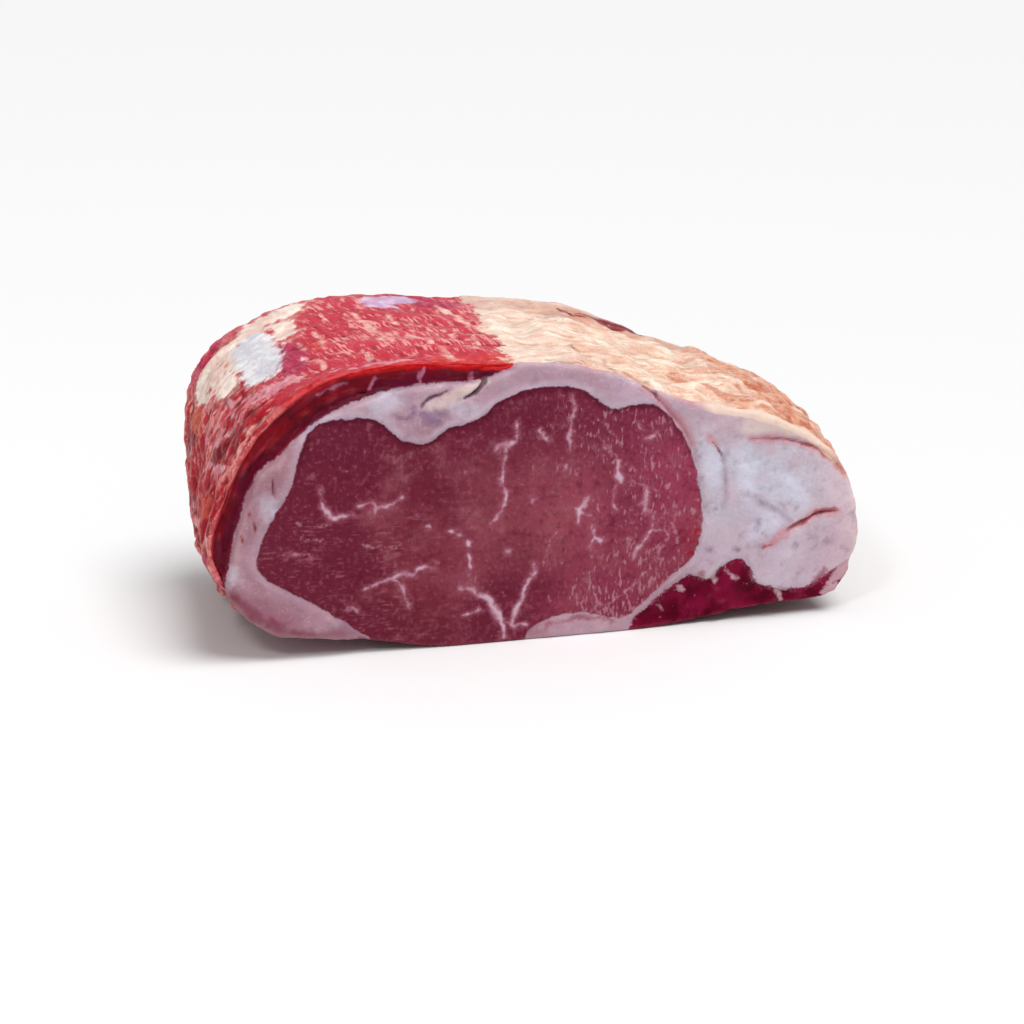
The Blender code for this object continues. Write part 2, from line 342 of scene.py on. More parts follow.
remesh = joint.modifiers.new("even", "REMESH")
remesh.mode = "VOXEL"
remesh.voxel_size = VOXEL * MM
applied(joint)
print(len(joint.data.vertices), "points", so_far())

# %% [markdown]
# ## Distances
#
# Nearly every feature of the meat is "so far from that line": the seam between two muscles,
# a vein of fat, a slit. Each could be a curve object with a modifier that measures to it, but
# there are hundreds. So the sculpting and the painting both use one measure, the distance from
# each point of the mesh to a line, worked out for all points at once.

# %% Distance to a line, and inside or outside an outline
def read(mesh, what, width=3):
    """One row of numbers per point: its place, its normal, or a painted attribute."""
    values = np.empty(len(mesh.vertices) * width, np.float32)
    if what == "place":
        mesh.vertices.foreach_get("co", values)
    elif what == "normal":
        mesh.vertex_normals.foreach_get("vector", values)
    else:
        mesh.attributes[what].data.foreach_get("vector" if width == 3 else "value", values)
    return values.reshape(-1, width).astype(np.float64)


def on_scale(rows):
    """Places in metres in the model's frame, as millimetres on the outlines' own scale."""
    return rows / MM - (SHIFT_X, 0, 0)


def line_distance(spots, line):
    """How far each spot is from a line of points, and at what share of the line's length it is nearest."""
    line = [np.array(p, float) for p in line]
    if len(line) == 1:
        return np.linalg.norm(spots - line[0], axis=1), np.full(len(spots), 0.5)
    lengths = [np.linalg.norm(b - a) for a, b in zip(line, line[1:])]
    nearest = np.full(len(spots), 1e9)
    share = np.zeros(len(spots))
    walked = 0.0
    for a, b, length in zip(line, line[1:], lengths):
        step = b - a
        t = np.clip((spots - a) @ step / (length * length), 0, 1)
        away = np.linalg.norm(spots - a - t[:, None] * step, axis=1)
        closer = away < nearest
        nearest[closer] = away[closer]
        share[closer] = (walked + t[closer] * length) / sum(lengths)
        walked += length
    return nearest, share


def inside(spots, outline):
    """Whether each spot lies inside a closed outline: a ray from it to the right crosses it oddly."""
    flags = np.zeros(len(spots), bool)
    x, z = spots[:, 0], spots[:, 1]
    for (x0, z0), (x1, z1) in zip(outline, list(outline[1:]) + [outline[0]]):
        if z0 == z1:
            continue
        crosses = (z0 > z) != (z1 > z)
        flags ^= crosses & (x < x0 + (z - z0) / (z1 - z0) * (x1 - x0))
    return flags


FAR_OUT = -12.0          # the depth given to all that is this far or further from a mark


def nearby(spots, line, reach):
    """The numbers of the spots in the line's box, widened by reach."""
    line = np.array(line, float)
    close = (spots > line.min(axis=0) - reach) & (spots < line.max(axis=0) + reach)
    return np.flatnonzero(close.all(axis=1))


away, share = line_distance(np.array([[0.0, 3.0]]), [(-5, 0), (5, 0)])
print("from (0, 3) to a line along x:", away[0], "mm, at", share[0], "of its length")

# %% [markdown]
# ## How deep each point lies
#
# Each muscle has a thin skin of its own, and the seams between them run from cut to cut. A muscle
# could be a vertex group, but that says only yes or no. Here every point gets its depth in the
# eye, the cap and the tail, in millimetres and negative outside. So a seam, its shade and its
# frayed edge can all be drawn from one number.

# %% Depths in the muscles
eye_line = curve_points(EYE_OUTLINE, True, FINE_STEPS)
cap_line = curve_points(CAP_EDGE, False, FINE_STEPS)
cap_line_behind = curve_points(CAP_LOW_END + CAP_EDGE[len(CAP_LOW_END):], False, FINE_STEPS)
tail_line = curve_points(TAIL_EDGE, False, FINE_STEPS)


def beyond(line, corners):
    """The closed outline of what lies past a tissue's edge."""
    return list(line) + [np.array(p, float) for p in corners]


def signed(spots, line, region):
    """The distance to a line, positive inside a region and negative outside."""
    away, _ = line_distance(spots, line)
    return np.where(inside(spots, region), away, -away)


def tissue_depths(spots):
    """How deep each spot is in the eye, cap and tail muscles. Outside, the depth is negative."""
    flat = spots[:, [0, 2]]
    eye = signed(flat, list(eye_line) + [eye_line[0]], eye_line)
    at_cut = signed(flat, cap_line, beyond(cap_line, CAP_BEYOND))
    behind = signed(flat, cap_line_behind, beyond(cap_line_behind, CAP_BEYOND))
    drop = np.clip((spots[:, 1] + HALF) / CAP_DROP_DEPTH, 0, 1)
    tail = signed(flat, tail_line, beyond(tail_line, TAIL_BEYOND))
    return eye, at_cut * (1 - drop) + behind * drop, tail


smooth_places = read(joint.data, "place")
spots = on_scale(smooth_places)
eye_depth, cap_depth, tail_depth = tissue_depths(spots)
print("points in the eye:", int((eye_depth > 0).sum()), so_far())

# %% [markdown]
# ## Slits, creases and pits
#
# Where the knife or the butcher's pull has parted the fat, there is a dark slit. It could be a
# dark line in the paint or in a bump map. These are real grooves instead, because light has to
# fall into them from every side. Each has a half width, a depth and a line on the cut face. Soft
# folds of fat stand up in the same way.

# %% Grooves of the cut face
# Half width, depth and line. The ridges have a height in place of the depth.
CUT_GROOVES = {
    "tail fat slit": (0.65, 1.2, [(95.5, 35.6), (98, 36.6), (101, 38), (104.7, 38.9), (109, 38.4)]),
    "slit's left end": (0.8, 1.2, [(90.5, 33), (93.7, 34.8), (97.4, 36.2)]),
    "small slit": (0.5, 0.8, [(62.3, 67.4), (64.5, 64.5), (66.2, 61.8)]),
    "soft crease": (1.2, 0.5, [(73.3, 48.9), (80.8, 44.3), (88.7, 38.9), (91.6, 37)]),
    "side of the lobe": (1.4, 0.6, [(66.4, 61), (67.4, 53), (66.9, 43.9)]),
    "fascia": (0.6, 1.0, [(76.8, 67.2), (83.7, 66.7), (90.6, 65.7), (96.3, 63.9), (101.8, 61.8),
        (105.6, 59), (108.9, 55.1), (111.6, 52.2)]),
    "ring seam": (0.8, 0.9, [(38, 88.5), (40.7, 86.2), (44, 83), (48.8, 77.3), (53.1, 71.6), (55.8, 66.2)]),
    "top slit": (0.7, 1.8, [(-16.6, 95.6), (-17.3, 94.4), (-18.8, 91.9), (-21.6, 89.7), (-25, 88.5)]),
    "top fold": (0.8, 1.3, [(-30.5, 91), (-33.5, 90.1), (-36.9, 88.8), (-39.3, 86.7)]),
    "lobe wrinkle": (0.8, 0.5, [(-49.2, 84.6), (-46.5, 83.1), (-43.8, 82.5), (-42.1, 84.1), (-42, 86.2)]),
    "left crack": (0.45, 1.1, [(-89.6, 64.5), (-89.2, 59)]),
    "left crack below": (0.45, 0.9, [(-95.9, 50.6), (-96, 46.4)]),
    "left crack outer": (0.5, 0.9, [(-100.6, 47.2), (-100.2, 43)]),
    "left crack above": (0.4, 0.8, [(-97.9, 55), (-97.4, 52)]),
}
CUT_RIDGES = {
    "lobe by the eye": (2.6, 0.9, [(59.7, 68.6), (62, 62.4), (63.7, 54), (64, 46.7), (63.4, 38.7)]),
    "streak of the top lobe": (1.1, 0.7, [(-18.2, 93.4), (-21.9, 91.7), (-25.7, 89.8), (-32.5, 87.3),
        (-36.3, 86.3)]),
    "lip of the slit": (1.4, 0.6, [(94, 37.4), (101, 40.6), (108.5, 41)]),
    "outside the fascia": (2.2, 0.7, [(74.5, 71.4), (87.2, 71), (100.2, 66.5), (107.9, 60.1)]),
    "fold under the crease": (3.0, 0.6, [(72, 44), (80, 38), (85, 33)]),
    "left fold": (2.4, 0.7, [(-93.5, 62), (-98.5, 50), (-100.5, 38)]),
}
CUT_PITS = {(62.8, 28.2): 0.8, (73.2, 27): 0.7, (81.7, 32.7): 0.5}    # place and radius
PIT_DEPTH = 0.7
BACK_SHARE = 0.7                 # the back cut's grooves are shallower
RELIEF_EDGE = (44.4, 46.4)       # so far from the joint's middle a cut face's relief starts and is full
TAPER = (0.06, 0.88, 0.6)        # how a groove rises from its ends


def cut_share(spots, edge):
    """1 on the cut faces and 0 on the outer skin."""
    return smoothstep(*edge, np.abs(spots[:, 1]))


cut = cut_share(spots, RELIEF_EDGE)
flat = spots[:, [0, 2]]
groove = np.zeros(len(spots))
near_cut = cut > 0
for sign, group in ((1, CUT_GROOVES), (-1, CUT_RIDGES)):
    for half_width, depth, line in group.values():
        close = nearby(flat, line, 3 * half_width)
        away, share = line_distance(flat[close], curve_points(line, False, 4))
        tapered = depth * np.sin(math.pi * (TAPER[0] + TAPER[1] * share)) ** TAPER[2]
        groove[close] += sign * tapered * np.exp(-(away / half_width) ** 2)
for (x, z), radius in CUT_PITS.items():
    away = np.hypot(flat[:, 0] - x, flat[:, 1] - z)
    groove = np.maximum(groove, PIT_DEPTH * np.exp(-(away / radius) ** 2))
groove *= np.where(spots[:, 1] < 0, 1.0, BACK_SHARE) * cut
print("deepest groove and highest fold, mm:", round(float(groove.max()), 2), round(float(groove.min()), 2))

# %% [markdown]
# ## Grain for the sculpting
#
# Raw meat is rough at every size, from lumps of a centimetre down to strings of half a
# millimetre. A noise texture in a Displace modifier would do for one of them. Here many have to
# be added up, each in its own place, so the noise is worked out for all points and kept as plain
# numbers. Folded at its zero line, a noise gives rounded cords with sharp valleys.

# %% Noise and marks
def noise_field(spots, size, offset=0.0):
    """Smooth noise at each spot, about -1 to 1. size is one length, or three for a stretched grain."""
    scaled = spots / np.array(size, float) + offset
    return np.array([noise.noise(Vector(p)) for p in scaled])


def grains(spots, *layers):
    """Noises added up, each with its size, an offset that makes its pattern its own, and its height."""
    return sum(noise_field(spots, size, offset) * height for size, offset, height in layers)


def cords(spots, size, offset=0.0):
    """Rounded cords with sharp valleys between them, 0 in a valley and about 1 on a cord."""
    return np.minimum(1.0, np.abs(noise_field(spots, size, offset)) * 2.6)


def rim_distance(flat):
    """How far each spot of a cut face is from the face's outline."""
    return line_distance(flat, list(skin_line[::2]) + [skin_line[0]])[0]


def mark_field(spots, marks):
    """How far inside the nearest of some round-ended marks each spot is."""
    best = np.full(len(spots), FAR_OUT)
    for radius, line in marks:
        close = nearby(spots, line, radius - FAR_OUT)
        best[close] = np.maximum(best[close], radius - line_distance(spots[close], line)[0])
    return best


print("a noise of 7 mm rises to", round(float(noise_field(spots[:5000], 7.0).max()), 2))

# %% [markdown]
# ## Sculpting the cut faces
#
# Under the knife the tissues part at different heights: the seams sink, the cap's band shrinks
# back and dries, the torn tail is rough, and the soft fat swells out in lobes. A brush could do
# it, but these tissues are known by their depths, so each gets its relief by a sum.

# %% Relief of the cuts
SEAM_SINK, CAP_SEAM_SINK, TAIL_SEAM_SINK = 0.12, 0.9, 0.5
BAND_SINK, BAND_SINK_LEFT = 1.5, 1.0
FAT_SWELL, TAIL_SINK = 0.35, 0.7
CUT_GRAIN = [(2.2, 0.0, 0.14), (7.0, 0.0, 0.25)]
TORN_GRAIN = [(7.0, 3.0, 0.9), (2.6, 3.5, 0.5)]
LOBE_GRAIN = [(14.0, 7.0, 1.1), (5.5, 8.0, 0.5), (2.4, 8.5, 0.2)]


def on_cut_relief(spots, eye, cap, tail):
    x, z = spots[:, 0], spots[:, 2]
    seams = SEAM_SINK * np.exp(-(eye / 0.8) ** 2) + CAP_SEAM_SINK * np.exp(-((cap + 0.4) / 1.0) ** 2)
    seams += TAIL_SEAM_SINK * np.exp(-(tail / 0.9) ** 2)
    left = smoothstep(-30, -80, x)
    round_the_rim = np.stack([rim_distance(spots[:, [0, 2]]), x, z], axis=1)
    shrunken = cords(round_the_rim, (2.2, 16, 16), 9.0) * 0.6 + noise_field(spots, 5.0, 9.5) * 0.8
    band = smoothstep(0, 1.5, cap) * (BAND_SINK + BAND_SINK_LEFT * left - shrunken)
    rough = smoothstep(0, 1.5, tail) * (TAIL_SINK - grains(spots, *TORN_GRAIN))
    fat = smoothstep(0.3, -1.5, np.maximum(np.maximum(eye, cap), tail))
    return grains(spots, *CUT_GRAIN) + fat * (FAT_SWELL + grains(spots, *LOBE_GRAIN)) - seams - band - rough


print("the cap's band lies", BAND_SINK, "to", BAND_SINK + BAND_SINK_LEFT, "mm behind the cut")

# %% [markdown]
# ## Sculpting the outer skin
#
# Round the outside, lean meat has fine ridges: they lean over along the top and run round the
# joint on its side. The cap fat has strings, and nodules on the right, the low left corner is
# torn, and the silverskin is smooth. The ridges could be combed with a hair system, but meat has
# no loose hairs, so stretched noise is closer.

# %% Relief of the skin
SMOOTH_PATCHES = [
    (8.5, [(-88, 20, 92.5), (-86.5, -5, 91.5)]), (6.5, [(-102, 30, 78), (-95, 32, 89)]),
    (6.0, [(-86, 34, 95), (-75, 36, 100.5), (-77, 16, 98.5)]), (6.5, [(-42, 33, 104), (-28, 36, 103.5)]),
]
SLANT = 0.32             # how far the grain of the top leans over, per millimetre of depth
SKIN_SINK = 0.8          # all of the relief lies this much lower, inside the solid
LEANING_GRAIN = [((3.0, 14, 3.4), 1.0, 0.55), ((6, 9, 6), 1.5, 0.4)]
CHUNK_GRAIN = [((10, 6, 10), 2.2, 1.5), ((4.5, 3.0, 4.5), 2.4, 0.8)]
NODULE_GRAIN = [(3.2, 6.5, 0.55), ((3.8, 1.7, 3.8), 6.7, 0.4)]
RAGGED_GRAIN = [(6.0, 12.0, 1.6), (2.8, 12.5, 0.8)]


def lean_relief(spots):
    x, y, z = spots.T
    top = smoothstep(78, 96, z)
    left = smoothstep(-70, -100, x)
    near_front = smoothstep(0, -38, y)
    leaning = grains(spots + np.outer(y, (SLANT, 0, 0)), *LEANING_GRAIN)
    round_joint = cords(spots, (24, 5.0, 24), 2.0) * (0.35 + 0.8 * near_front)
    fibres = leaning * top + round_joint * (1 - top) + grains(spots, *CHUNK_GRAIN) * left
    fibres += noise_field(spots, (8, 1.8, 8), 2.5) * (0.35 - 0.3 * top)
    return fibres + noise_field(spots, 2.4, 2.7) * 0.25


def fat_relief(spots):
    x, _, z = spots.T
    right = smoothstep(50, 90, x) * smoothstep(35, 58, z)
    strings = cords(spots, (20, 4.4, 20), 4.0) * 0.3 + noise_field(spots, (8, 2.6, 8), 5.0) * 0.45
    nodules = noise_field(spots, (9, 5.5, 9), 6.0) * 1.6 + cords(spots, (13, 6, 13), 6.2) * 0.6
    nodules += grains(spots, *NODULE_GRAIN)
    cap_fat = smoothstep(-14, 2, x) * smoothstep(30, 55, z)
    return (strings * (1 - right) + nodules * right) * cap_fat + noise_field(spots, 4.0, 5.5) * 0.4


def on_skin_relief(spots, cap):
    x, _, z = spots.T
    lean = smoothstep(-0.5, 1.0, cap)
    ragged = smoothstep(-84, -96, x) * smoothstep(34, 16, z)
    calm = 1 - 0.7 * smoothstep(-2.5, 0.5, mark_field(spots, SMOOTH_PATCHES))
    return (lean_relief(spots) * lean * calm + fat_relief(spots) * (1 - lean)
            + grains(spots, *RAGGED_GRAIN) * ragged - SKIN_SINK)


def move_along_normals(mesh, amounts):
    moved = read(mesh, "place") + read(mesh, "normal") * (amounts[:, None] * MM)
    mesh.vertices.foreach_set("co", moved.astype(np.float32).ravel())
    mesh.update()


relief = np.zeros(len(spots))
skin = cut < 0.999
relief[skin] = on_skin_relief(spots[skin], cap_depth[skin]) * (1 - cut[skin])
relief[near_cut] += on_cut_relief(spots[near_cut], eye_depth[near_cut], cap_depth[near_cut],
                                  tail_depth[near_cut]) * cut[near_cut]
standing = smoothstep(0.0, 3.0, spots[:, 2])
move_along_normals(joint.data, (relief - groove) * standing)
print(f"relief from {relief.min():.1f} to {relief.max():.1f} mm", so_far())

# %% [markdown]
# ## Rest places and hollows
#
# Two things are painted on the joint now, while it is whole. One is each point's place before
# the sculpting, because all outlines are drawn on that smooth shape. The other is how deep the
# point lies in a hollow: the paint will be darker there, as painted shade, and lighter on high
# ridges, as a painted highlight. Blender's dirty vertex colours find hollows too, but only those
# about as wide as the mesh's own edges.

# %% Rest places and hollows
def edge_ends(mesh):
    ends = np.empty(len(mesh.edges) * 2, np.int32)
    mesh.edges.foreach_get("vertices", ends)
    return ends.reshape(-1, 2)


def neighbour_mean(values, ends, known=None):
    """The mean of each point's neighbours, of the known ones alone where that is given."""
    known = np.ones(len(values)) if known is None else known
    total, count = np.zeros_like(values), np.zeros(len(values))
    for here, there in ((0, 1), (1, 0)):
        np.add.at(total, ends[:, here], values[ends[:, there]] * known[ends[:, there], None])
        np.add.at(count, ends[:, here], known[ends[:, there]])
    return total / np.maximum(count, 1)[:, None], count


def paint(mesh, name, values):
    """Keeps a number or a place for each point, as an attribute that a material can read."""
    kind, key = ("FLOAT_VECTOR", "vector") if values.ndim == 2 else ("FLOAT", "value")
    layer = mesh.attributes.get(name) or mesh.attributes.new(name, kind, "POINT")
    layer.data.foreach_set(key, values.astype(np.float32).ravel())


def hollows(mesh, rounds):
    """How far each point lies below the mesh smoothed over some rounds, in millimetres."""
    ends = edge_ends(mesh)
    start = smoothed = read(mesh, "place")
    for _ in range(rounds):
        smoothed = neighbour_mean(smoothed, ends)[0]
    return ((smoothed - start) * read(mesh, "normal")).sum(axis=1) / MM


HOLLOW_ROUNDS = 10       # more rounds find wider hollows
paint(joint.data, "rest", smooth_places)
hollow = hollows(joint.data, HOLLOW_ROUNDS)
paint(joint.data, "hollow", hollow)
print("hollows from", round(float(hollow.min()), 2), "to", round(float(hollow.max()), 2), "mm")

# %% [markdown]
# ## Parting the tissues
#
# The eye, the cap, the tail and the fat are four pieces that grew together. Each could be lofted
# alone, but then their borders wouldn't match. So the finished skin is cut by long cutters with
# the tissues' outlines. Two neighbours are cut by the same cutter, one keeping its inside and the
# other its outside, so they meet with no gap and no step, as grown tissue does.

# %% Cutters and cuts
def wall(outline, y):
    """One ring of a cutter: an outline at a place along the joint."""
    return [(p[0], y, p[1]) for p in outline]


front, back = -HALF - CUTTER_REACH, HALF + CUTTER_REACH
cap_region = beyond(cap_line, CAP_BEYOND)
cap_region_behind = beyond(cap_line_behind, CAP_BEYOND)
cutters = {
    "eye": loft("eye_cutter", [wall(eye_line, front), wall(eye_line, back)]),
    "cap": loft("cap_cutter", [
        wall(cap_region, front), wall(cap_region, -HALF),
        wall(cap_region_behind, CAP_DROP_DEPTH - HALF), wall(cap_region_behind, back)]),
    "tail": loft("tail_cutter", [wall(beyond(tail_line, TAIL_BEYOND), y) for y in (front, back)]),
}


def tissue(name, cuts):
    """A copy of the fine joint, cut down to one tissue."""
    made = bpy.data.objects.new(name, joint.data.copy())
    bpy.context.scene.collection.objects.link(made)
    for operation, cutter in cuts:
        boolean = made.modifiers.new(cutter, "BOOLEAN")
        boolean.operation = operation
        boolean.solver = "MANIFOLD"
        boolean.object = cutters[cutter]
    applied(made)
    fill_new_points(made.data)
    return made


def fill_new_points(mesh):
    """Points that a cutter made take their rest place and hollow from their neighbours on the skin."""
    rest, hollow = read(mesh, "rest"), read(mesh, "hollow", 1)
    new = np.abs(rest).sum(axis=1) == 0
    offset = rest - read(mesh, "place")
    known = (~new).astype(float)
    near, count = neighbour_mean(np.concatenate([offset, hollow], axis=1), edge_ends(mesh), known)
    near[count == 0] = 0
    rest[new] = read(mesh, "place")[new] + near[new, :3]
    hollow[new] = near[new, 3:]
    paint(mesh, "rest", rest)
    paint(mesh, "hollow", hollow[:, 0])


pieces = {
    "eye_muscle": tissue("marbled_eye", [("INTERSECT", "eye")]),
    "cap_muscle": tissue("red_cap", [("INTERSECT", "cap")]),
    "tail_muscle": tissue("crimson_tail", [("INTERSECT", "tail")]),
    "fat_cover": tissue("fat_wrap", [("DIFFERENCE", key) for key in ("eye", "cap", "tail")]),
}
for cutter in cutters.values():
    bpy.data.objects.remove(cutter)
bpy.data.objects.remove(joint)
for node, piece in pieces.items():
    triangles = sum(len(p.vertices) - 2 for p in piece.data.polygons)
    print(piece.name, triangles, "triangles", so_far())

# %% [markdown]
# ## The marbling
#
# The eye is marbled with thin veins of fat. A noise or a pattern of cells can make such veins,
# but not these ones, so each is a line of points on the front cut, as (x, z), with its half
# width. Where it runs, the mesh will hold how far inside the vein each point is, in millimetres.
# The shader adds noise to that before it takes the edge, so edges come out frayed and much finer
# than the mesh. All other marks work the same way.

# %% Veins
VEINS = [
    (0.6, [(-74.1, 61.7), (-73.8, 57.3), (-72.4, 52.7), (-70.7, 50.3), (-67.7, 50.4), (-64, 51),
          (-61.5, 50.2)]), (0.55, [(-61, 54), (-57.8, 54.8), (-55.4, 53), (-50.5, 53.2), (-46, 56.4)]),
    (0.4, [(-55.4, 53), (-55, 51.2)]),
    (0.6, [(-6.3, 79.7), (-6.3, 76), (-7, 72.8), (-9.5, 71.4), (-12.6, 71.6), (-14.5, 69.6)]),
    (0.55, [(-10.5, 71), (-11, 64), (-12, 57.8), (-10.4, 53.8), (-11.3, 50.5), (-12.8, 47), (-16.2, 42.9)]),
    (0.55, [(13, 85), (13.3, 81.7), (12, 76.7), (11.8, 71), (12.1, 67.6)]),
    (0.5, [(1.5, 76), (3.6, 72.2), (4.6, 71.4)]), (0.4, [(11, 63), (10.4, 61.5)]),
    (0.85, [(18.3, 50.3), (16, 46), (15.1, 41.6)]), (0.45, [(12.6, 47.4), (16, 46), (18.5, 44)]),
    (0.9, [(21, 39), (20.8, 35.8), (23.8, 35.2)]), (0.45, [(19.6, 41.5), (20.3, 36), (19, 33)]),
    (1.0, [(29.4, 62.6), (29.3, 58.3), (30, 54.5)]), (0.35, [(28.6, 54.8), (27.5, 49), (28.4, 45)]),
    (0.9, [(-0.6, 28), (-0.6, 25), (-3.3, 19.6), (-5.4, 13.8), (-8.7, 6.3)]),
    (1.3, [(-19.7, 18.6), (-16.5, 16.5), (-14, 12), (-12, 7.5), (-10.8, 2)]),
    (0.45, [(-26.5, 22), (-23, 20.5), (-19.7, 18.6)]), (0.5, [(-12, 9.6), (-8, 6.5), (-2.5, 5.5)]),
    (0.9, [(-38.4, 45), (-37.2, 44.4)]), (0.9, [(-30.3, 42.9), (-28.8, 42.2)]),
    (0.8, [(-27.4, 41), (-26.3, 40.2)]), (1.0, [(-24, 38), (-23.2, 36.4)]),
    (0.6, [(-24.2, 34.2), (-23.4, 32), (-23.2, 28.7)]), (0.8, [(-10, 34), (-9.3, 33)]),
    (0.5, [(-35.3, 32.3), (-34.8, 31.7)]), (0.5, [(0.2, 52), (-1.8, 50.6)]),
    (0.6, [(-59.7, 24), (-55.8, 25.6), (-50.8, 27), (-47, 28), (-42.4, 28), (-40.6, 30.2), (-36, 29.3)]),
    (0.5, [(-50.8, 27), (-47, 24.5), (-45.9, 20.5), (-44.3, 16.1)]),
    (0.7, [(-25.5, 11.9), (-21.6, 12.3), (-19.2, 13.2)]),
    (0.45, [(-66.7, 16.3), (-64.6, 17.9), (-62.3, 16.6)]), (0.9, [(39.4, 52), (39.1, 48.4), (38.6, 44)]),
    (0.5, [(38.6, 44), (37.2, 43)]),
    (0.7, [(41.9, 41.6), (41.1, 37.2), (38.4, 33.5), (35.9, 29.8), (35, 26.5)]),
    (0.4, [(41.1, 37.2), (45, 36.6)]), (0.5, [(42.6, 72.3), (40.9, 70.6), (38.5, 70)]),
    (0.45, [(36.5, 75.5), (37.6, 73.6)]),
]
print(len(VEINS), "veins, spots and forks")
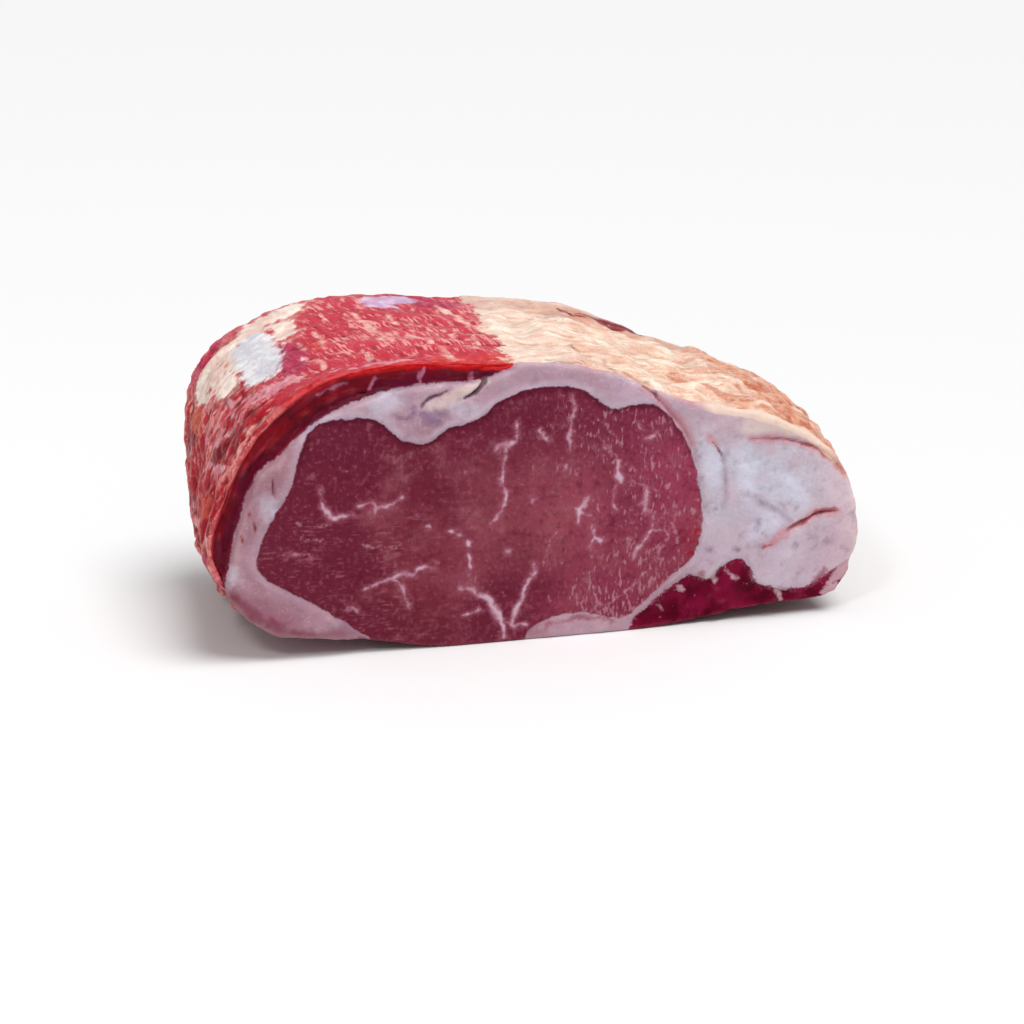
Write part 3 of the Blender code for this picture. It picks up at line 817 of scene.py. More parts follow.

# %% [markdown]
# ## Marks on the cut face
#
# The fat has creamy lobes, painted highlights on its lit lobes, painted shade in its folds,
# flushed slits and scraps of flesh, the eye has fibres, the tail has gristle and the cap has
# strands. They could be painted with a brush in texture paint, but a line and a width can be read
# and corrected. A mark that follows a groove takes the groove's own line.

# %% Marks of the cuts: half width, and points as (x, z)
CUT_MARKS = {
    # Painted highlights: a bluish white sheen on the fat's lit lobes and ridges.
    "painted_highlight": [
        (2.0, [(91, 50), (96, 44)]), (2.6, [(73.5, 64), (76.5, 57.5), (75, 50.5)]),
        (2.0, [(86, 38), (78, 33)]), (1.6, CUT_RIDGES["lobe by the eye"][2][:3]),
        (1.2, [(-92, 57.3), (-90, 53.5)]), (2.4, [(-54, 87.5), (-48, 90)]),
        (0.6, [(-26.4, 84.8), (-21.3, 84.5)]), (1.2, [(-104.6, 30.4), (-103.8, 33)]),
    ],
    "creamy": [(1.0, CUT_RIDGES["streak of the top lobe"][2]), (2.6, CUT_RIDGES["outside the fascia"][2])],
    "shade": [
        (0.5, CUT_GROOVES["soft crease"][2]), (1.0, [(-46, 90.2), (-43, 89.7)]),
        (0.5, CUT_GROOVES["side of the lobe"][2]), (0.9, [(115.5, 37), (117, 33)]),
        (0.7, [(100, 30.5), (101.5, 29)]), (0.8, [(-71, 12.5), (-62, 8.5)]),
    ],
    "flush": [
        (1.2, CUT_GROOVES["tail fat slit"][2]), (0.9, [(93.7, 34.8), (89, 31.9), (83.9, 28.2)]),
        (1.6, [(49, 85.3), (54.4, 83.2), (60.5, 81.2)]), (0.8, CUT_GROOVES["fascia"][2]),
        (0.7, [(61, 69.2), (63.6, 66.3)]), (0.5, [(42, 91), (30, 94.6), (16, 96.8)]),
        (0.7, CUT_GROOVES["ring seam"][2]),
    ],
    "mauve": [
        (3.0, [(-102, 25), (-94, 18), (-83, 12.5)]), (2.0, [(-70, 8.5), (-62, 5)]),
        (1.2, [(-99.5, 58), (-97, 64)]),
    ],
    "amber": [
        (1.7, [(103.5, 65), (109, 59.5), (113, 54)]), (1.0, [(113.5, 52), (115.5, 47)]),
        (0.7, [(116.4, 45), (118, 37), (118, 29)]),
    ],
    "violet": [
        (1.6, [(-39.7, 84), (-36.3, 81.7), (-33, 80.6)]), (1.2, [(-34.6, 84.8), (-31, 83.4)]),
        (0.3, CUT_GROOVES["lobe wrinkle"][2]), (0.5, [(62, 28.7), (62.8, 27.9)]),
        (0.6, [(72, 28.3), (72.8, 26.8)]), (0.35, [(80.4, 28.2), (81.2, 27.4)]),
        (0.5, [(94, 27.8), (94.6, 27)]), (0.45, [(105.6, 27.6), (106.2, 26.9)]),
        (0.4, [(79.5, 38), (80, 34.5)]), (0.4, [(56.6, 43), (58, 36), (57, 29)]),
    ],
    "flesh": [
        (1.3, [(106.2, 16), (102.7, 11.6), (101.1, 8.1)]), (0.9, [(59.1, 20.7), (60.3, 18)]),
        (1.2, [(-105, 25.5), (-102.5, 21.5)]), (0.8, [(-100, 18.5), (-97.5, 16)]),
        (0.7, [(-91.5, 16.6), (-89, 13.8)]), (1.0, [(-92, 10), (-87, 9.6)]),
        (0.4, [(-84, 10.5), (-79, 8.6)]), (0.5, [(-64, 5.5), (-58, 4.4)]), (0.6, [(-40, 1.2), (-33, 1)]),
        (0.35, [(3.6, 4.6), (12, 6.4), (22, 6.2), (28, 4.4)]),
    ],
    "rust": [
        (0.9, [(91.5, 33.6), (94.5, 35.2), (98.5, 36.8)]), (0.8, CUT_GROOVES["fascia"][2][3:]),
        (0.3, [(82, 27.4), (84.6, 28.2)]), (0.6, [(101, 38.6), (105, 39.6), (109.5, 39)]),
    ],
    "umber": [
        (0.4, CUT_GROOVES["top fold"][2]), (0.5, CUT_GROOVES["top slit"][2]),
        (0.2, CUT_GROOVES["ring seam"][2][:3]),
    ],
    "blood": [
        (0.4, CUT_GROOVES["tail fat slit"][2]), (0.3, CUT_GROOVES["small slit"][2]),
        (0.25, CUT_GROOVES["left crack"][2]), (0.2, CUT_GROOVES["left crack below"][2]),
        (0.25, CUT_GROOVES["left crack outer"][2]), (0.2, CUT_GROOVES["left crack above"][2]),
    ],
    "fibre": [
        (0.3, [(25.4, 75.6), (28.1, 71), (30.2, 67.6)]), (0.3, [(32.4, 57.6), (36.7, 54), (41, 50.5)]),
        (0.35, [(49.2, 45.6), (49.5, 37.9), (50.8, 31.2)]),
        (0.3, [(24, 10), (30, 13.5), (36, 18), (40, 22)]), (0.3, [(48.5, 40), (45.6, 31.5), (41, 24.5)]),
        (0.25, [(-82.6, 49.3), (-75.9, 47.3), (-70.8, 48)]), (0.25, [(-81, 43.9), (-73.6, 42.6)]),
        (0.25, [(-83.5, 38.8), (-77.2, 37.2)]), (0.3, [(22, 72), (26, 66), (33, 60)]),
        (0.3, [(8, 40), (4, 34), (2, 27)]), (0.25, [(-60, 40), (-52, 38), (-46, 39)]),
    ],
    "gristle": [
        (2.8, [(109, 12), (113, 16), (117, 21)]), (1.8, [(106, 7), (111, 10)]),
        (1.3, [(64, 27), (64.6, 19.5), (65.5, 15.5)]), (1.0, [(88.3, 12), (89.4, 9), (91, 6)]),
        (0.6, [(52, 15.5), (54, 12.6)]), (0.5, [(68.5, 22), (71, 17.5), (75, 15)]),
        (0.4, [(44, 8.8), (47, 6.6)]),
    ],
    "strand": [
        (0.7, [(-38, 99), (-38.9, 95.6), (-39.8, 93.4)]), (0.6, [(-21.2, 96.4), (-22.6, 93.3)]),
        (0.6, [(-54.8, 96.8), (-55, 96), (-56.1, 93.2)]), (0.3, [(-74, 92), (-69.8, 94), (-63.4, 95.5)]),
    ],
}
print({name: len(marks) for name, marks in CUT_MARKS.items()})

# %% [markdown]
# ## Marks on the outer skin
#
# Outside there are silverskin, cream and lilac patches, pale streaks, dark and rosy spots, the
# scarlet edge of the cap, the orange and tan of dried fat and the folds in it. They are round-ended
# strokes in space, which need no unwrapping of the mesh, as a painted picture would.

# %% Marks of the skin: radius, and points as (x, y, z)
SKIN_MARKS = {
    "silver": [(7.5, [(-86.5, 22, 93.8), (-86, -6, 91.8)]), (3, [(-81, 4, 96), (-84, -14, 93)])],
    "cream": [
        (6.5, [(-103.5, 27, 77), (-99, 31, 84.5)]), (6.5, [(-95, 32, 89), (-87, 34, 95)]),
        (6.0, [(-84, 36, 96.7), (-76, 36, 100), (-69, 38, 102)]),
        (4.5, [(-75, 24, 100), (-74.5, 12, 99.5)]), (5.4, [(-98.6, 20, 83.5), (-97, 3, 84.3)]),
        (3.0, [(-103, 18, 76), (-101, 11, 78)]), (4.5, [(-92.5, 28, 89.5), (-91.8, 8, 88.8)]),
        (4.0, [(-80, 26, 98), (-84, 30, 95.5)]),
    ],
    "lilac": [(5.2, [(-39, 34, 104.4), (-27, 38, 103.8)]), (2.6, [(-41, 29, 104), (-34, 27, 103.6)])],
    "pale": [
        (3.2, [(-93, -24.6, 85.1), (-86, -27, 90.5), (-78.3, -31.3, 95)]),
        (1.1, [(-97.3, -6, 82.5), (-99.2, -15, 78.4), (-102.8, -11, 73), (-106, 2, 64.5)]),
        (1.2, [(-90, -27, 87), (-96.8, -26, 80.3), (-101, -23.5, 74.9), (-105, -14.6, 67.7)]),
        (0.9, [(-88, -16, 88.5), (-95, -14, 83), (-98.5, -20, 79)]),
        (1.6, [(-107, -12, 61.4), (-105.7, -27, 63.4), (-104, -35, 66)]),
        (1.1, [(-66, -39.5, 99.3), (-60, -40.5, 100.4), (-51.5, -38.5, 101.2), (-45.5, -41, 101.6)]),
    ],
    "streak": [
        (0.8, [(-52.4, 21, 103.6), (-50.7, 11, 103.2)]),
        (1.0, [(-49.4, 21, 103.8), (-47.8, 12, 103.2), (-46.8, 1.5, 103.1), (-45.7, -8.5, 102.9),
              (-43.4, -19, 102.3)]), (1.9, [(-47.6, 8, 103.2), (-46.3, -3, 103)]),
        (0.8, [(-52, -11.4, 102.9), (-47.6, -13.5, 103.2), (-44.5, -17.4, 102.9)]),
        (0.8, [(-37.8, 13.5, 103.3), (-36.4, 5, 103.3)]), (0.6, [(-40.6, -13, 103), (-39.8, -18, 102.7)]),
        (1.1, [(-36.6, -13, 103), (-33, -15.3, 102.7), (-30.4, -19, 102), (-28.7, -29.5, 102.2),
              (-27.6, -35.4, 101.4), (-26.2, -42, 101)]), (0.7, [(-32.3, 3, 102.6), (-27, -3.5, 102)]),
        (0.9, [(-20.9, -3, 101.3), (-19.9, -12, 101.6), (-19, -28, 102), (-17.2, -31, 101.4)]),
        (1.4, [(-16, 30, 101.7), (-12.6, 17.5, 101.4), (-10.4, 9, 100.6), (-8.7, 1, 100.4)]),
        (0.8, [(-13, -5, 100.2), (-12.8, -20, 100.5)]),
        (0.9, [(-66.4, 4, 101.6), (-65.4, -4.6, 101), (-66.2, -17, 101.4)]),
        (1.0, [(-73, -1.4, 99.3), (-72, -11, 99.5)]), (0.8, [(-65.2, -22.7, 100.6), (-58.4, -23, 101.2)]),
        (1.0, [(-73.6, -18, 98.9), (-70.8, -23.5, 99), (-69, -32.5, 98.8)]),
        (0.7, [(-54.7, -23, 101.6), (-53.9, -35, 101.5)]), (0.5, [(-62.5, -8, 101.6), (-62, -13, 102)]),
        (0.7, [(-61, 24, 103.5), (-59, 12, 103)]),
        # This streak along the left front rim is a painted highlight on the rim's ridge.
        (1.0, [(-88.3, -41, 87), (-92.2, -41.2, 83.4), (-96.4, -39.5, 78.9), (-101, -43, 71.3),
              (-104.8, -38.5, 63.6), (-107.5, -33, 55)]), (1.6, [(-109.5, 1, 36), (-110.6, -12, 40)]),
        (1.8, [(-111, -34.6, 41), (-110.3, -43, 43)]), (1.5, [(-110.3, -44, 34.6), (-108.5, -45, 31.5)]),
    ],
    "rosy": [
        (3.0, [(-104.5, 43, 77), (-93, 44, 90), (-80, 46, 97), (-64, 47, 103)]),
        (6.0, [(-77.2, -3, 97.5), (-77, -22, 96.4)]), (7.0, [(-27, 40, 103), (-14, 34, 102)]),
        (5.0, [(-109, -40, 33), (-106, -42, 26)]),
    ],
    "ember": [
        (4.0, [(-30, -40, 101), (-8, -40, 99.5)]), (4.0, [(-109.8, -13, 47.5), (-109.5, -28, 50.5)]),
        (3.0, [(-66, -6, 101.5), (-67, -14, 101)]),
    ],
    "dark": [
        # The first two strokes are painted shade in a small hole of the left side.
        (3.0, [(-105, -20, 66.6), (-103.2, -26, 69.7), (-100.7, -28.4, 73.7)]),
        (1.2, [(-106.2, -16, 62.8), (-104.9, -27, 65.6), (-103.2, -35, 68.2)]),
        (1.2, [(-93.9, -10, 86.5), (-96, -20, 82)]), (2.0, [(-108.3, 24, 61.6), (-108.6, 18, 61)]),
        (2.0, [(-95, -34, 82), (-99, -33, 76.5)]), (1.4, [(-108, -38, 56), (-109.6, -36, 50)]),
        (1.6, [(-110.6, -20, 44), (-111.4, -26, 36)]),
    ],
    "scarlet": [
        (2.6, [(-84, -44.5, 91), (-76, -45, 95.8), (-66.3, -45.4, 99.4), (-53.6, -45.6, 101.1),
              (-40, -46, 101.5), (-25, -46.2, 100.6), (-8, -46.4, 99)]),
    ],
    "orange": [
        (4.2, [(-106.5, 21, 68.2), (-106, 13.6, 67.7)]), (3.4, [(84.3, -36.8, 77.6), (91.8, -38.9, 73.3)]),
        (3.4, [(97.9, -29.7, 71.1), (103.9, -29.9, 67.1)]),
        (3.6, [(59, -19, 83.5), (66, -28, 82.4), (77, -37, 79.2)]),
        (1.6, [(100.2, -45, 66.8), (103.5, -46.5, 62.6), (108.5, -46.8, 56.2), (111.4, -46.3, 52.9)]),
        (3.0, [(88, -12, 77), (96, -10, 73)]),
    ],
    "sliver": [(5.2, [(34, 35.5, 95.8), (41, 37.5, 94), (48, 39.5, 91), (58, 43.5, 87), (65, 46.5, 84.4)])],
    "tan": [
        (5.0, [(3.7, 32, 100.8), (10, 29, 100.4), (18, 27, 98.8), (25, 24, 98)]),
        (3.0, [(66, 24, 84), (80, 27, 80)]),
    ],
    "fold": [
        (0.7, [(30.6, -26, 93), (29.8, -35.5, 92.6), (28.8, -45.5, 92.7)]),
        (0.5, [(6.4, -43.4, 98.1), (17.7, -41.8, 96.7)]), (0.6, [(20, -18, 97), (24, -24, 95.8)]),
        (0.5, [(45, -8, 90), (52, -14, 87.6)]), (0.5, [(34, -38, 91.5), (41, -42, 88.6)]),
    ],
}
print({name: len(marks) for name, marks in SKIN_MARKS.items()})

# %% [markdown]
# ## Crooked lines
#
# No vein in meat is a clean curve: drawn as one, it looks like string. A line could be given many
# more points, each a little off. It is simpler to shake the places by noise before they are
# measured, so that every line comes out crooked. The back cut shows the front's marbling, turned
# about the eye's middle.

# %% Shaken places and lines
EYE_MIDDLE = -18.0               # the back cut's marbling is turned about this x


def shaken(flat):
    """The same spots, each moved up to a millimetre or so, nearly the same way as its neighbours."""
    spots = np.stack([flat[:, 0], np.zeros(len(flat)), flat[:, 1]], axis=1)
    moves = [grains(spots, (4.5, offset, 0.9), (1.7, offset, 0.55)) for offset in (11.0, 23.0)]
    return flat + np.stack(moves, axis=1)


def line_field(flat, lines):
    """How far inside the nearest line each spot is. A line is thick in its middle."""
    best = np.full(len(flat), FAR_OUT)
    for half_width, line in lines:
        close = nearby(flat, line, half_width - FAR_OUT)
        away, share = line_distance(flat[close], curve_points(line, False, 4))
        best[close] = np.maximum(best[close], half_width * (0.45 + 0.55 * np.sin(math.pi * share)) - away)
    return best


def turned_flat(spots):
    """The (x, z) of each spot, with the back cut's marbling turned about the eye's middle."""
    flat = spots[:, [0, 2]]
    return np.where(spots[:, 1:2] > 0, flat * (-1, 1) + (2 * EYE_MIDDLE, 0), flat)


sample = flat[:5000]
print("shaken by up to", round(float(np.abs(shaken(sample) - sample).max()), 2), "mm in x or z")

# %% [markdown]
# ## Painting the fields
#
# The veins are thinner than the mesh's own edges, so the eye muscle gets a finer mesh along
# them first. Finer points everywhere would do as well, but would be far too many. Then every
# piece gets all the fields, because the noise at a border can carry a mark across it.

# %% Paint the fields onto the pieces
PAINT_EDGE = (44.8, 46.6)        # so far from the joint's middle a cut face's paint starts and is full
VEIN_REACH = 1.4                 # the mesh is finer this far round a vein


def doubled(faces):
    """The faces that lie back to back on the same points, as a split sliver can leave them."""
    by_points = {}
    for face in faces:
        by_points.setdefault(frozenset(face.verts), []).append(face)
    return [face for group in by_points.values() if len(group) > 1 for face in group]


def split_near_veins(mesh, reach):
    """Halves the edges near the veins, and says how many they were."""
    spots = on_scale(read(mesh, "rest"))
    on_cut = np.flatnonzero(cut_share(spots, PAINT_EDGE) > 0.5)
    close = np.zeros(len(spots), bool)
    close[on_cut] = line_field(shaken(turned_flat(spots[on_cut])), VEINS) > -reach
    bm = bmesh.new()
    bm.from_mesh(mesh)
    near = [e for e in bm.edges if close[e.verts[0].index] and close[e.verts[1].index]]
    bmesh.ops.subdivide_edges(bm, edges=near, cuts=1)
    bmesh.ops.triangulate(bm, faces=[f for f in bm.faces if len(f.verts) > 3])
    bmesh.ops.delete(bm, geom=doubled(bm.faces), context="FACES")
    bm.to_mesh(mesh)
    bm.free()
    return len(near)


print(split_near_veins(pieces["eye_muscle"].data, VEIN_REACH), "edges split near the veins")
for piece in pieces.values():
    mesh = piece.data
    spots = on_scale(read(mesh, "rest"))
    eye, cap, tail = tissue_depths(spots)
    cut = cut_share(spots, PAINT_EDGE)
    on_cut = cut > 0
    for name, values in (("eye_depth", eye), ("cap_depth", cap), ("tail_depth", tail), ("cut", cut)):
        paint(mesh, name, values)
    turned, straight = shaken(turned_flat(spots[on_cut])), shaken(spots[on_cut][:, [0, 2]])
    for name, lines in {"vein": VEINS, **CUT_MARKS}.items():
        values = np.full(len(spots), FAR_OUT)
        values[on_cut] = line_field(turned if name in ("vein", "fibre") else straight, lines)
        paint(mesh, name, values)
    rim = np.zeros(len(spots))
    rim[on_cut] = rim_distance(spots[on_cut][:, [0, 2]])
    paint(mesh, "rim", rim)
    for name, marks in SKIN_MARKS.items():
        paint(mesh, name, mark_field(spots, marks))
    print(piece.name, len(mesh.polygons), "faces painted", so_far())

# %% [markdown]
# ## Writing node maths as plain sums
#
# A material is a graph of nodes. It could be drawn in the shader editor, but a sum such as
# 1 - mask would need a node and two links each time. So a socket is wrapped in a small class
# that knows +, -, * and /, and each use adds the Math node.

# %% Signals
class Signal:
    """A number or a vector on its way through a node tree."""

    def __init__(self, finish, socket):
        self.finish, self.socket = finish, socket

    def combine(self, operation, first, second=0):
        kind = "ShaderNodeVectorMath" if self.socket.type == "VECTOR" else "ShaderNodeMath"
        return self.finish.node(kind, {"operation": operation}, {0: first, 1: second})

    def __add__(self, other):
        return self.combine("ADD", self, other)

    def __radd__(self, other):
        return self.combine("ADD", other, self)

    def __sub__(self, other):
        return self.combine("SUBTRACT", self, other)

    def __rsub__(self, other):
        return self.combine("SUBTRACT", other, self)

    def __mul__(self, other):
        return self.combine("MULTIPLY", self, other)

    def __rmul__(self, other):
        return self.combine("MULTIPLY", other, self)

    def __truediv__(self, other):
        return self.combine("DIVIDE", self, other)

    def __abs__(self):
        return self.combine("ABSOLUTE", self)

    def most(self, other):
        return self.combine("MAXIMUM", self, other)

    def rise(self, low, high):
        """0 below low and 1 above high, with a soft step between."""
        return self.finish.node("ShaderNodeMapRange", {"interpolation_type": "SMOOTHSTEP"},
                                {"Value": self, "From Min": low, "From Max": high})


print("a signal knows", [name.strip("_") for name in vars(Signal) if callable(getattr(Signal, name))])

# %% [markdown]
# ## Colours in layers
#
# Meat gets its colour from many thin things over one another. A colour ramp gives one row of
# colours along one number, which is too few. Here one colour is laid over the other, each with
# a share that says where it lies. Every node is made by one method, which takes the node's
# settings first and then the values or links of its sockets.

# %% Finishes and layers
class Finish:
    """One material and its node tree."""

    def __init__(self, name):
        self.material = bpy.data.materials.new(name)
        self.material.use_nodes = True
        self.tree = self.material.node_tree
        self.tree.nodes.clear()

    def node(self, kind, settings=None, inputs=None, output=0):
        made = self.tree.nodes.new(kind)
        for key, value in (settings or {}).items():
            setattr(made, key, value)
        for key, value in (inputs or {}).items():
            if isinstance(value, Signal):
                self.tree.links.new(value.socket, made.inputs[key])
            else:
                made.inputs[key].default_value = value
        return Signal(self, made.outputs[output]) if made.outputs else made

    def field(self, name):
        return self.node("ShaderNodeAttribute", {"attribute_name": name}, output="Fac")

    def mix(self, share, first, second):
        """A colour that goes from the first to the second as share goes from 0 to 1."""
        return self.node("ShaderNodeMix", {"data_type": "RGBA"}, {0: share, 6: first, 7: second}, output=2)

    def grain(self, at, size, detail=2):
        """Noise of a size in millimetres, about -0.5 to 0.5. size can be three lengths."""
        lengths = size if isinstance(size, tuple) else (size,) * 3
        spot = at * tuple(1 / length for length in lengths)
        return self.node("ShaderNodeTexNoise", {}, {"Vector": spot, "Scale": 1, "Detail": detail}) - 0.5


def hue(red, green, blue):
    """A colour as a picture editor gives it, 0 to 255, made linear for the shader by the sRGB rule."""
    parts = [part / 255 for part in (red, green, blue)]
    return tuple(p / 12.92 if p <= 0.04045 else ((p + 0.055) / 1.055) ** 2.4 for p in parts) + (1,)


class Layers:
    """A colour built up in layers. Each covers those below it by its share, 0 to 1."""

    def __init__(self, finish, colour):
        self.finish, self.colour = finish, colour

    def add(self, share, *colour):
        """One more layer, with its red, green and blue from 0 to 255, or with one ready colour."""
        over = hue(*colour) if len(colour) == 3 else colour[0]
        self.colour = self.finish.mix(share, self.colour, over)


print("a middle grey of 188 is", round(hue(188, 188, 188)[0], 3), "in linear light")

# %% [markdown]
# ## The fat
#
# Fat is never white. On the cut it is a cool lilac-grey on the right and a fleshy mauve round
# the eye, with soft lobes. One colour with a bump would look like wax. So broad, soft shares
# from the place and the noises give its tones, and the painted marks come over them. Among them
# are painted highlights on the lit lobes and painted shade in the folds.

# %% Fat of the cut
# The mark, its colour, its strength, and where it starts and is full, in millimetres from its line.
FAT_MARKS = [
    # The bluish white mark is a painted highlight on the lit lobes, and the shade mark is painted shade in
    # the folds.
    ("creamy", hue(226, 206, 194), 0.55, -2.6, 0.8), ("painted_highlight", hue(216, 220, 236), 0.4, -4.5, 1),
    ("mauve", hue(142, 82, 104), 0.5, -3, 1), ("amber", hue(206, 128, 92), 0.75, -1.4, 0.4),
    ("shade", hue(138, 114, 134), 0.35, -1.8, 0.4), ("flush", hue(206, 92, 98), 0.45, -2.2, 0.5),
    ("violet", hue(100, 64, 112), 0.55, -2, 1.4), ("flesh", hue(142, 20, 50), 0.65, -1.4, 0.8),
    ("rust", hue(164, 60, 50), 0.75, -0.9, 0.2), ("umber", hue(68, 28, 34), 0.8, -0.6, 0.1),
    ("blood", hue(136, 22, 30), 0.9, -0.4, 0.15),
]


def cut_fat(f, s):
    right = (s.x + s.small * 6).rise(34, 66)
    layers = Layers(f, f.mix(right, hue(160, 114, 127), hue(198, 192, 206)))
    inner = s.eye_depth.rise(-4.5, -1) * (1 - right) * s.x.rise(0, -60)
    layers.add(inner * 0.3, 204, 184, 202)
    low = s.z.rise(34, 14) * (1 - right)
    layers.add(low * 0.6, 170, 124, 140)
    top = s.z.rise(72, 84) * (1 - right)
    layers.add(top * 0.8, 182, 150, 166)
    under = s.eye_depth.rise(-3.4, -0.8) * s.z.rise(70, 80)
    layers.add(under * 0.4, 212, 194, 212)
    layers.add(s.x.rise(84, 108) * 0.6, 214, 184, 192)
    layers.add((s.z + s.mid * 16).rise(48, 26) * right * 0.6, 196, 164, 180)
    layers.add((s.z + s.mid * 16).rise(56, 72) * right * 0.7, 188, 156, 166)
    layers.add((s.mid * 2.6 + 0.1).rise(0, 0.8) * 0.4, 192, 150, 164)
    layers.add(s.x.rise(100, 114) * 0.45, 224, 196, 200)
    lens = s.x.rise(-6, 4) * s.z.rise(13, 9) * (1 - right)
    layers.add(lens * 0.4, 206, 174, 192)
    over_eye = s.x.rise(16, 30) * s.z.rise(70, 80) * (1 - right)
    layers.add(over_eye * 0.35, 206, 184, 206)
    # Painted highlight: broad lit patches of bluish white, more of them on the right.
    lit = (s.broad * 2.4 + s.mid - 0.1).rise(0, 0.7) * (0.25 + right * 0.2)
    layers.add(lit, 220, 214, 226)
    layers.add((s.small * -2.4 - s.mid * 1.4).rise(0.1, 0.7) * 0.35, 146, 104, 122)
    layers.add((s.fine * 2 + s.small * 1.6).rise(0.1, 1) * 0.3, 170, 126, 142)
    layers.add((s.fine * -2.4).rise(0.1, 0.9) * 0.25, 232, 222, 232)
    for name, shade, strength, start, full in FAT_MARKS:
        ragged = getattr(s, name) + s.frayed * (0.6 * (full - start))
        layers.add(ragged.rise(start, full) * strength, shade)
    low_left = s.x.rise(-62, -84) * s.z.rise(36, 24)
    bruised = (s.rim + s.frayed * 2.4 + s.mid * 9).rise(6.4, 2) * low_left
    layers.add(bruised * 0.7, 118, 40, 64)
    cream = s.rim.rise(3.6, 1.6) * s.x.rise(48, 62) * s.x.rise(112, 98)
    layers.add((cream + s.frayed * 0.3).rise(0.2, 0.9) * 0.75, 238, 210, 188)
    return layers.colour


print(len(FAT_MARKS), "kinds of marks on the cut fat")

# %% [markdown]
# ## The dried outer fat
#
# On the outside the fat has dried to cream, tan and orange strings that run round the joint. They
# could be strands of geometry, but at half a millimetre they are finer than any mesh worth
# having. Noises stretched round the joint give them, and the nodules on the right, which have
# dried most, are the reddest, and darker in their hollows by painted shade.

# %% Dried fat
# The mark, its colour, its strength, and how much the noises fray it.
DRIED_MARKS = [
    ("tan", hue(198, 148, 134), 0.7, 1), ("orange", hue(194, 98, 58), 0.8, 0.5),
    ("ember", hue(230, 160, 130), 0.5, 1), ("sliver", hue(132, 20, 42), 1, 0.22),
    ("fold", hue(140, 70, 50), 0.75, 0.15),
]


def dried_fat(f, s):
    light = (s.round_strings * 2.2 + s.mid * 1.4 + 0.5).rise(0, 1)
    layers = Layers(f, f.mix(light, hue(226, 180, 156), hue(244, 222, 202)))
    flush = (s.broad * 2.2 + s.round_strings_wide * 1.6).rise(0, 0.6)
    layers.add(flush * 0.45, 218, 158, 144)
    orange = (s.round_strings_wide * 2.2 + s.far_right * 0.7 + s.back * 0.15).rise(0.05, 0.6)
    layers.add(orange * 0.65, 214, 140, 104)
    red = (s.round_strings_fine * 2.2 + s.small * 1.2 + s.far_right * 0.45).rise(0.25, 0.7)
    layers.add(red * 0.55, 190, 90, 62)
    pale = (s.small * 2 + s.mid * 1.6 + s.round_strings * 1.6 - s.far_right * 0.15).rise(0.05, 0.5)
    layers.add(pale * 0.75, 252, 236, 216)
    greyed = (s.long_strings + s.broad * 2).rise(0.15, 0.6) * (1 - s.far_right)
    layers.add(greyed * 0.5, 200, 166, 156)
    crumbly = s.fine * 2 + s.round_strings_fine * 2 + s.far_right * 0.2 - 0.1
    layers.add(crumbly.rise(0.1, 0.6) * 0.55, 204, 132, 102)
    layers.add((crumbly * -1).rise(0.15, 0.7) * 0.45, 254, 238, 216)
    # Dried red nodules on the right, drawn further into the hollows as painted shade.
    crags_and_hollow_shade = s.far_right * (s.mid * 2 + s.small * 2.8 + s.hollow * 0.6).rise(0, 0.6)
    layers.add(crags_and_hollow_shade * 0.75, 180, 78, 54)
    behind = (s.back + s.round_strings * 1.6 + s.broad).rise(0.25, 0.95)
    layers.add(behind * 0.65, 192, 138, 124)
    near_lean = (s.x + s.small * 20).rise(26, 2) * s.z.rise(60, 80)
    layers.add(near_lean * 0.3, 246, 232, 222)
    low = (s.z + s.small * 8 + s.mid * 20 + s.broad * 26).rise(54, 26)
    two_tone = (s.mid * 2.4 + s.round_strings * 2 + 0.4).rise(0, 1)
    rosy = Layers(f, f.mix(two_tone, hue(190, 140, 144), hue(224, 194, 192)))
    rosy.add((s.small * 2.6 + s.round_strings_fine * 1.6).rise(0.15, 0.8) * 0.5, 172, 98, 112)
    layers.add(low, rosy.colour)
    left = (s.x + s.small * 8).rise(-40, -60)
    mauve = f.mix((s.small * 3 + s.mid * 2 + 0.4).rise(0, 1), hue(122, 46, 68), hue(182, 126, 142))
    layers.add(left * 0.9, mauve)
    for name, shade, strength, fray in DRIED_MARKS:
        wander = s.frayed + s.small * 4 + s.mid * 8 + s.round_strings_wide * 6
        spread = getattr(s, name) + wander * fray
        patchy = (s.round_strings * 2 + s.fine * 1.6 + 1.1 - fray).rise(0, 0.8)
        layers.add(spread.rise(-1.4, 0.8) * patchy * strength, shade)
    return layers.colour


print(len(DRIED_MARKS), "kinds of marks on the dried fat")

# %% [markdown]
# ## The eye muscle
#
# The eye is a brownish wine red, finely grained because its fibres are cut across. A picture of
# real meat laid over it would be quick, but it would show a seam and repeat. So its red is mixed
# from broad tones and fine grains, and the fat comes over it: wisps, dashes and specks from the
# noises, then the drawn veins with a soft halo and a pale core.

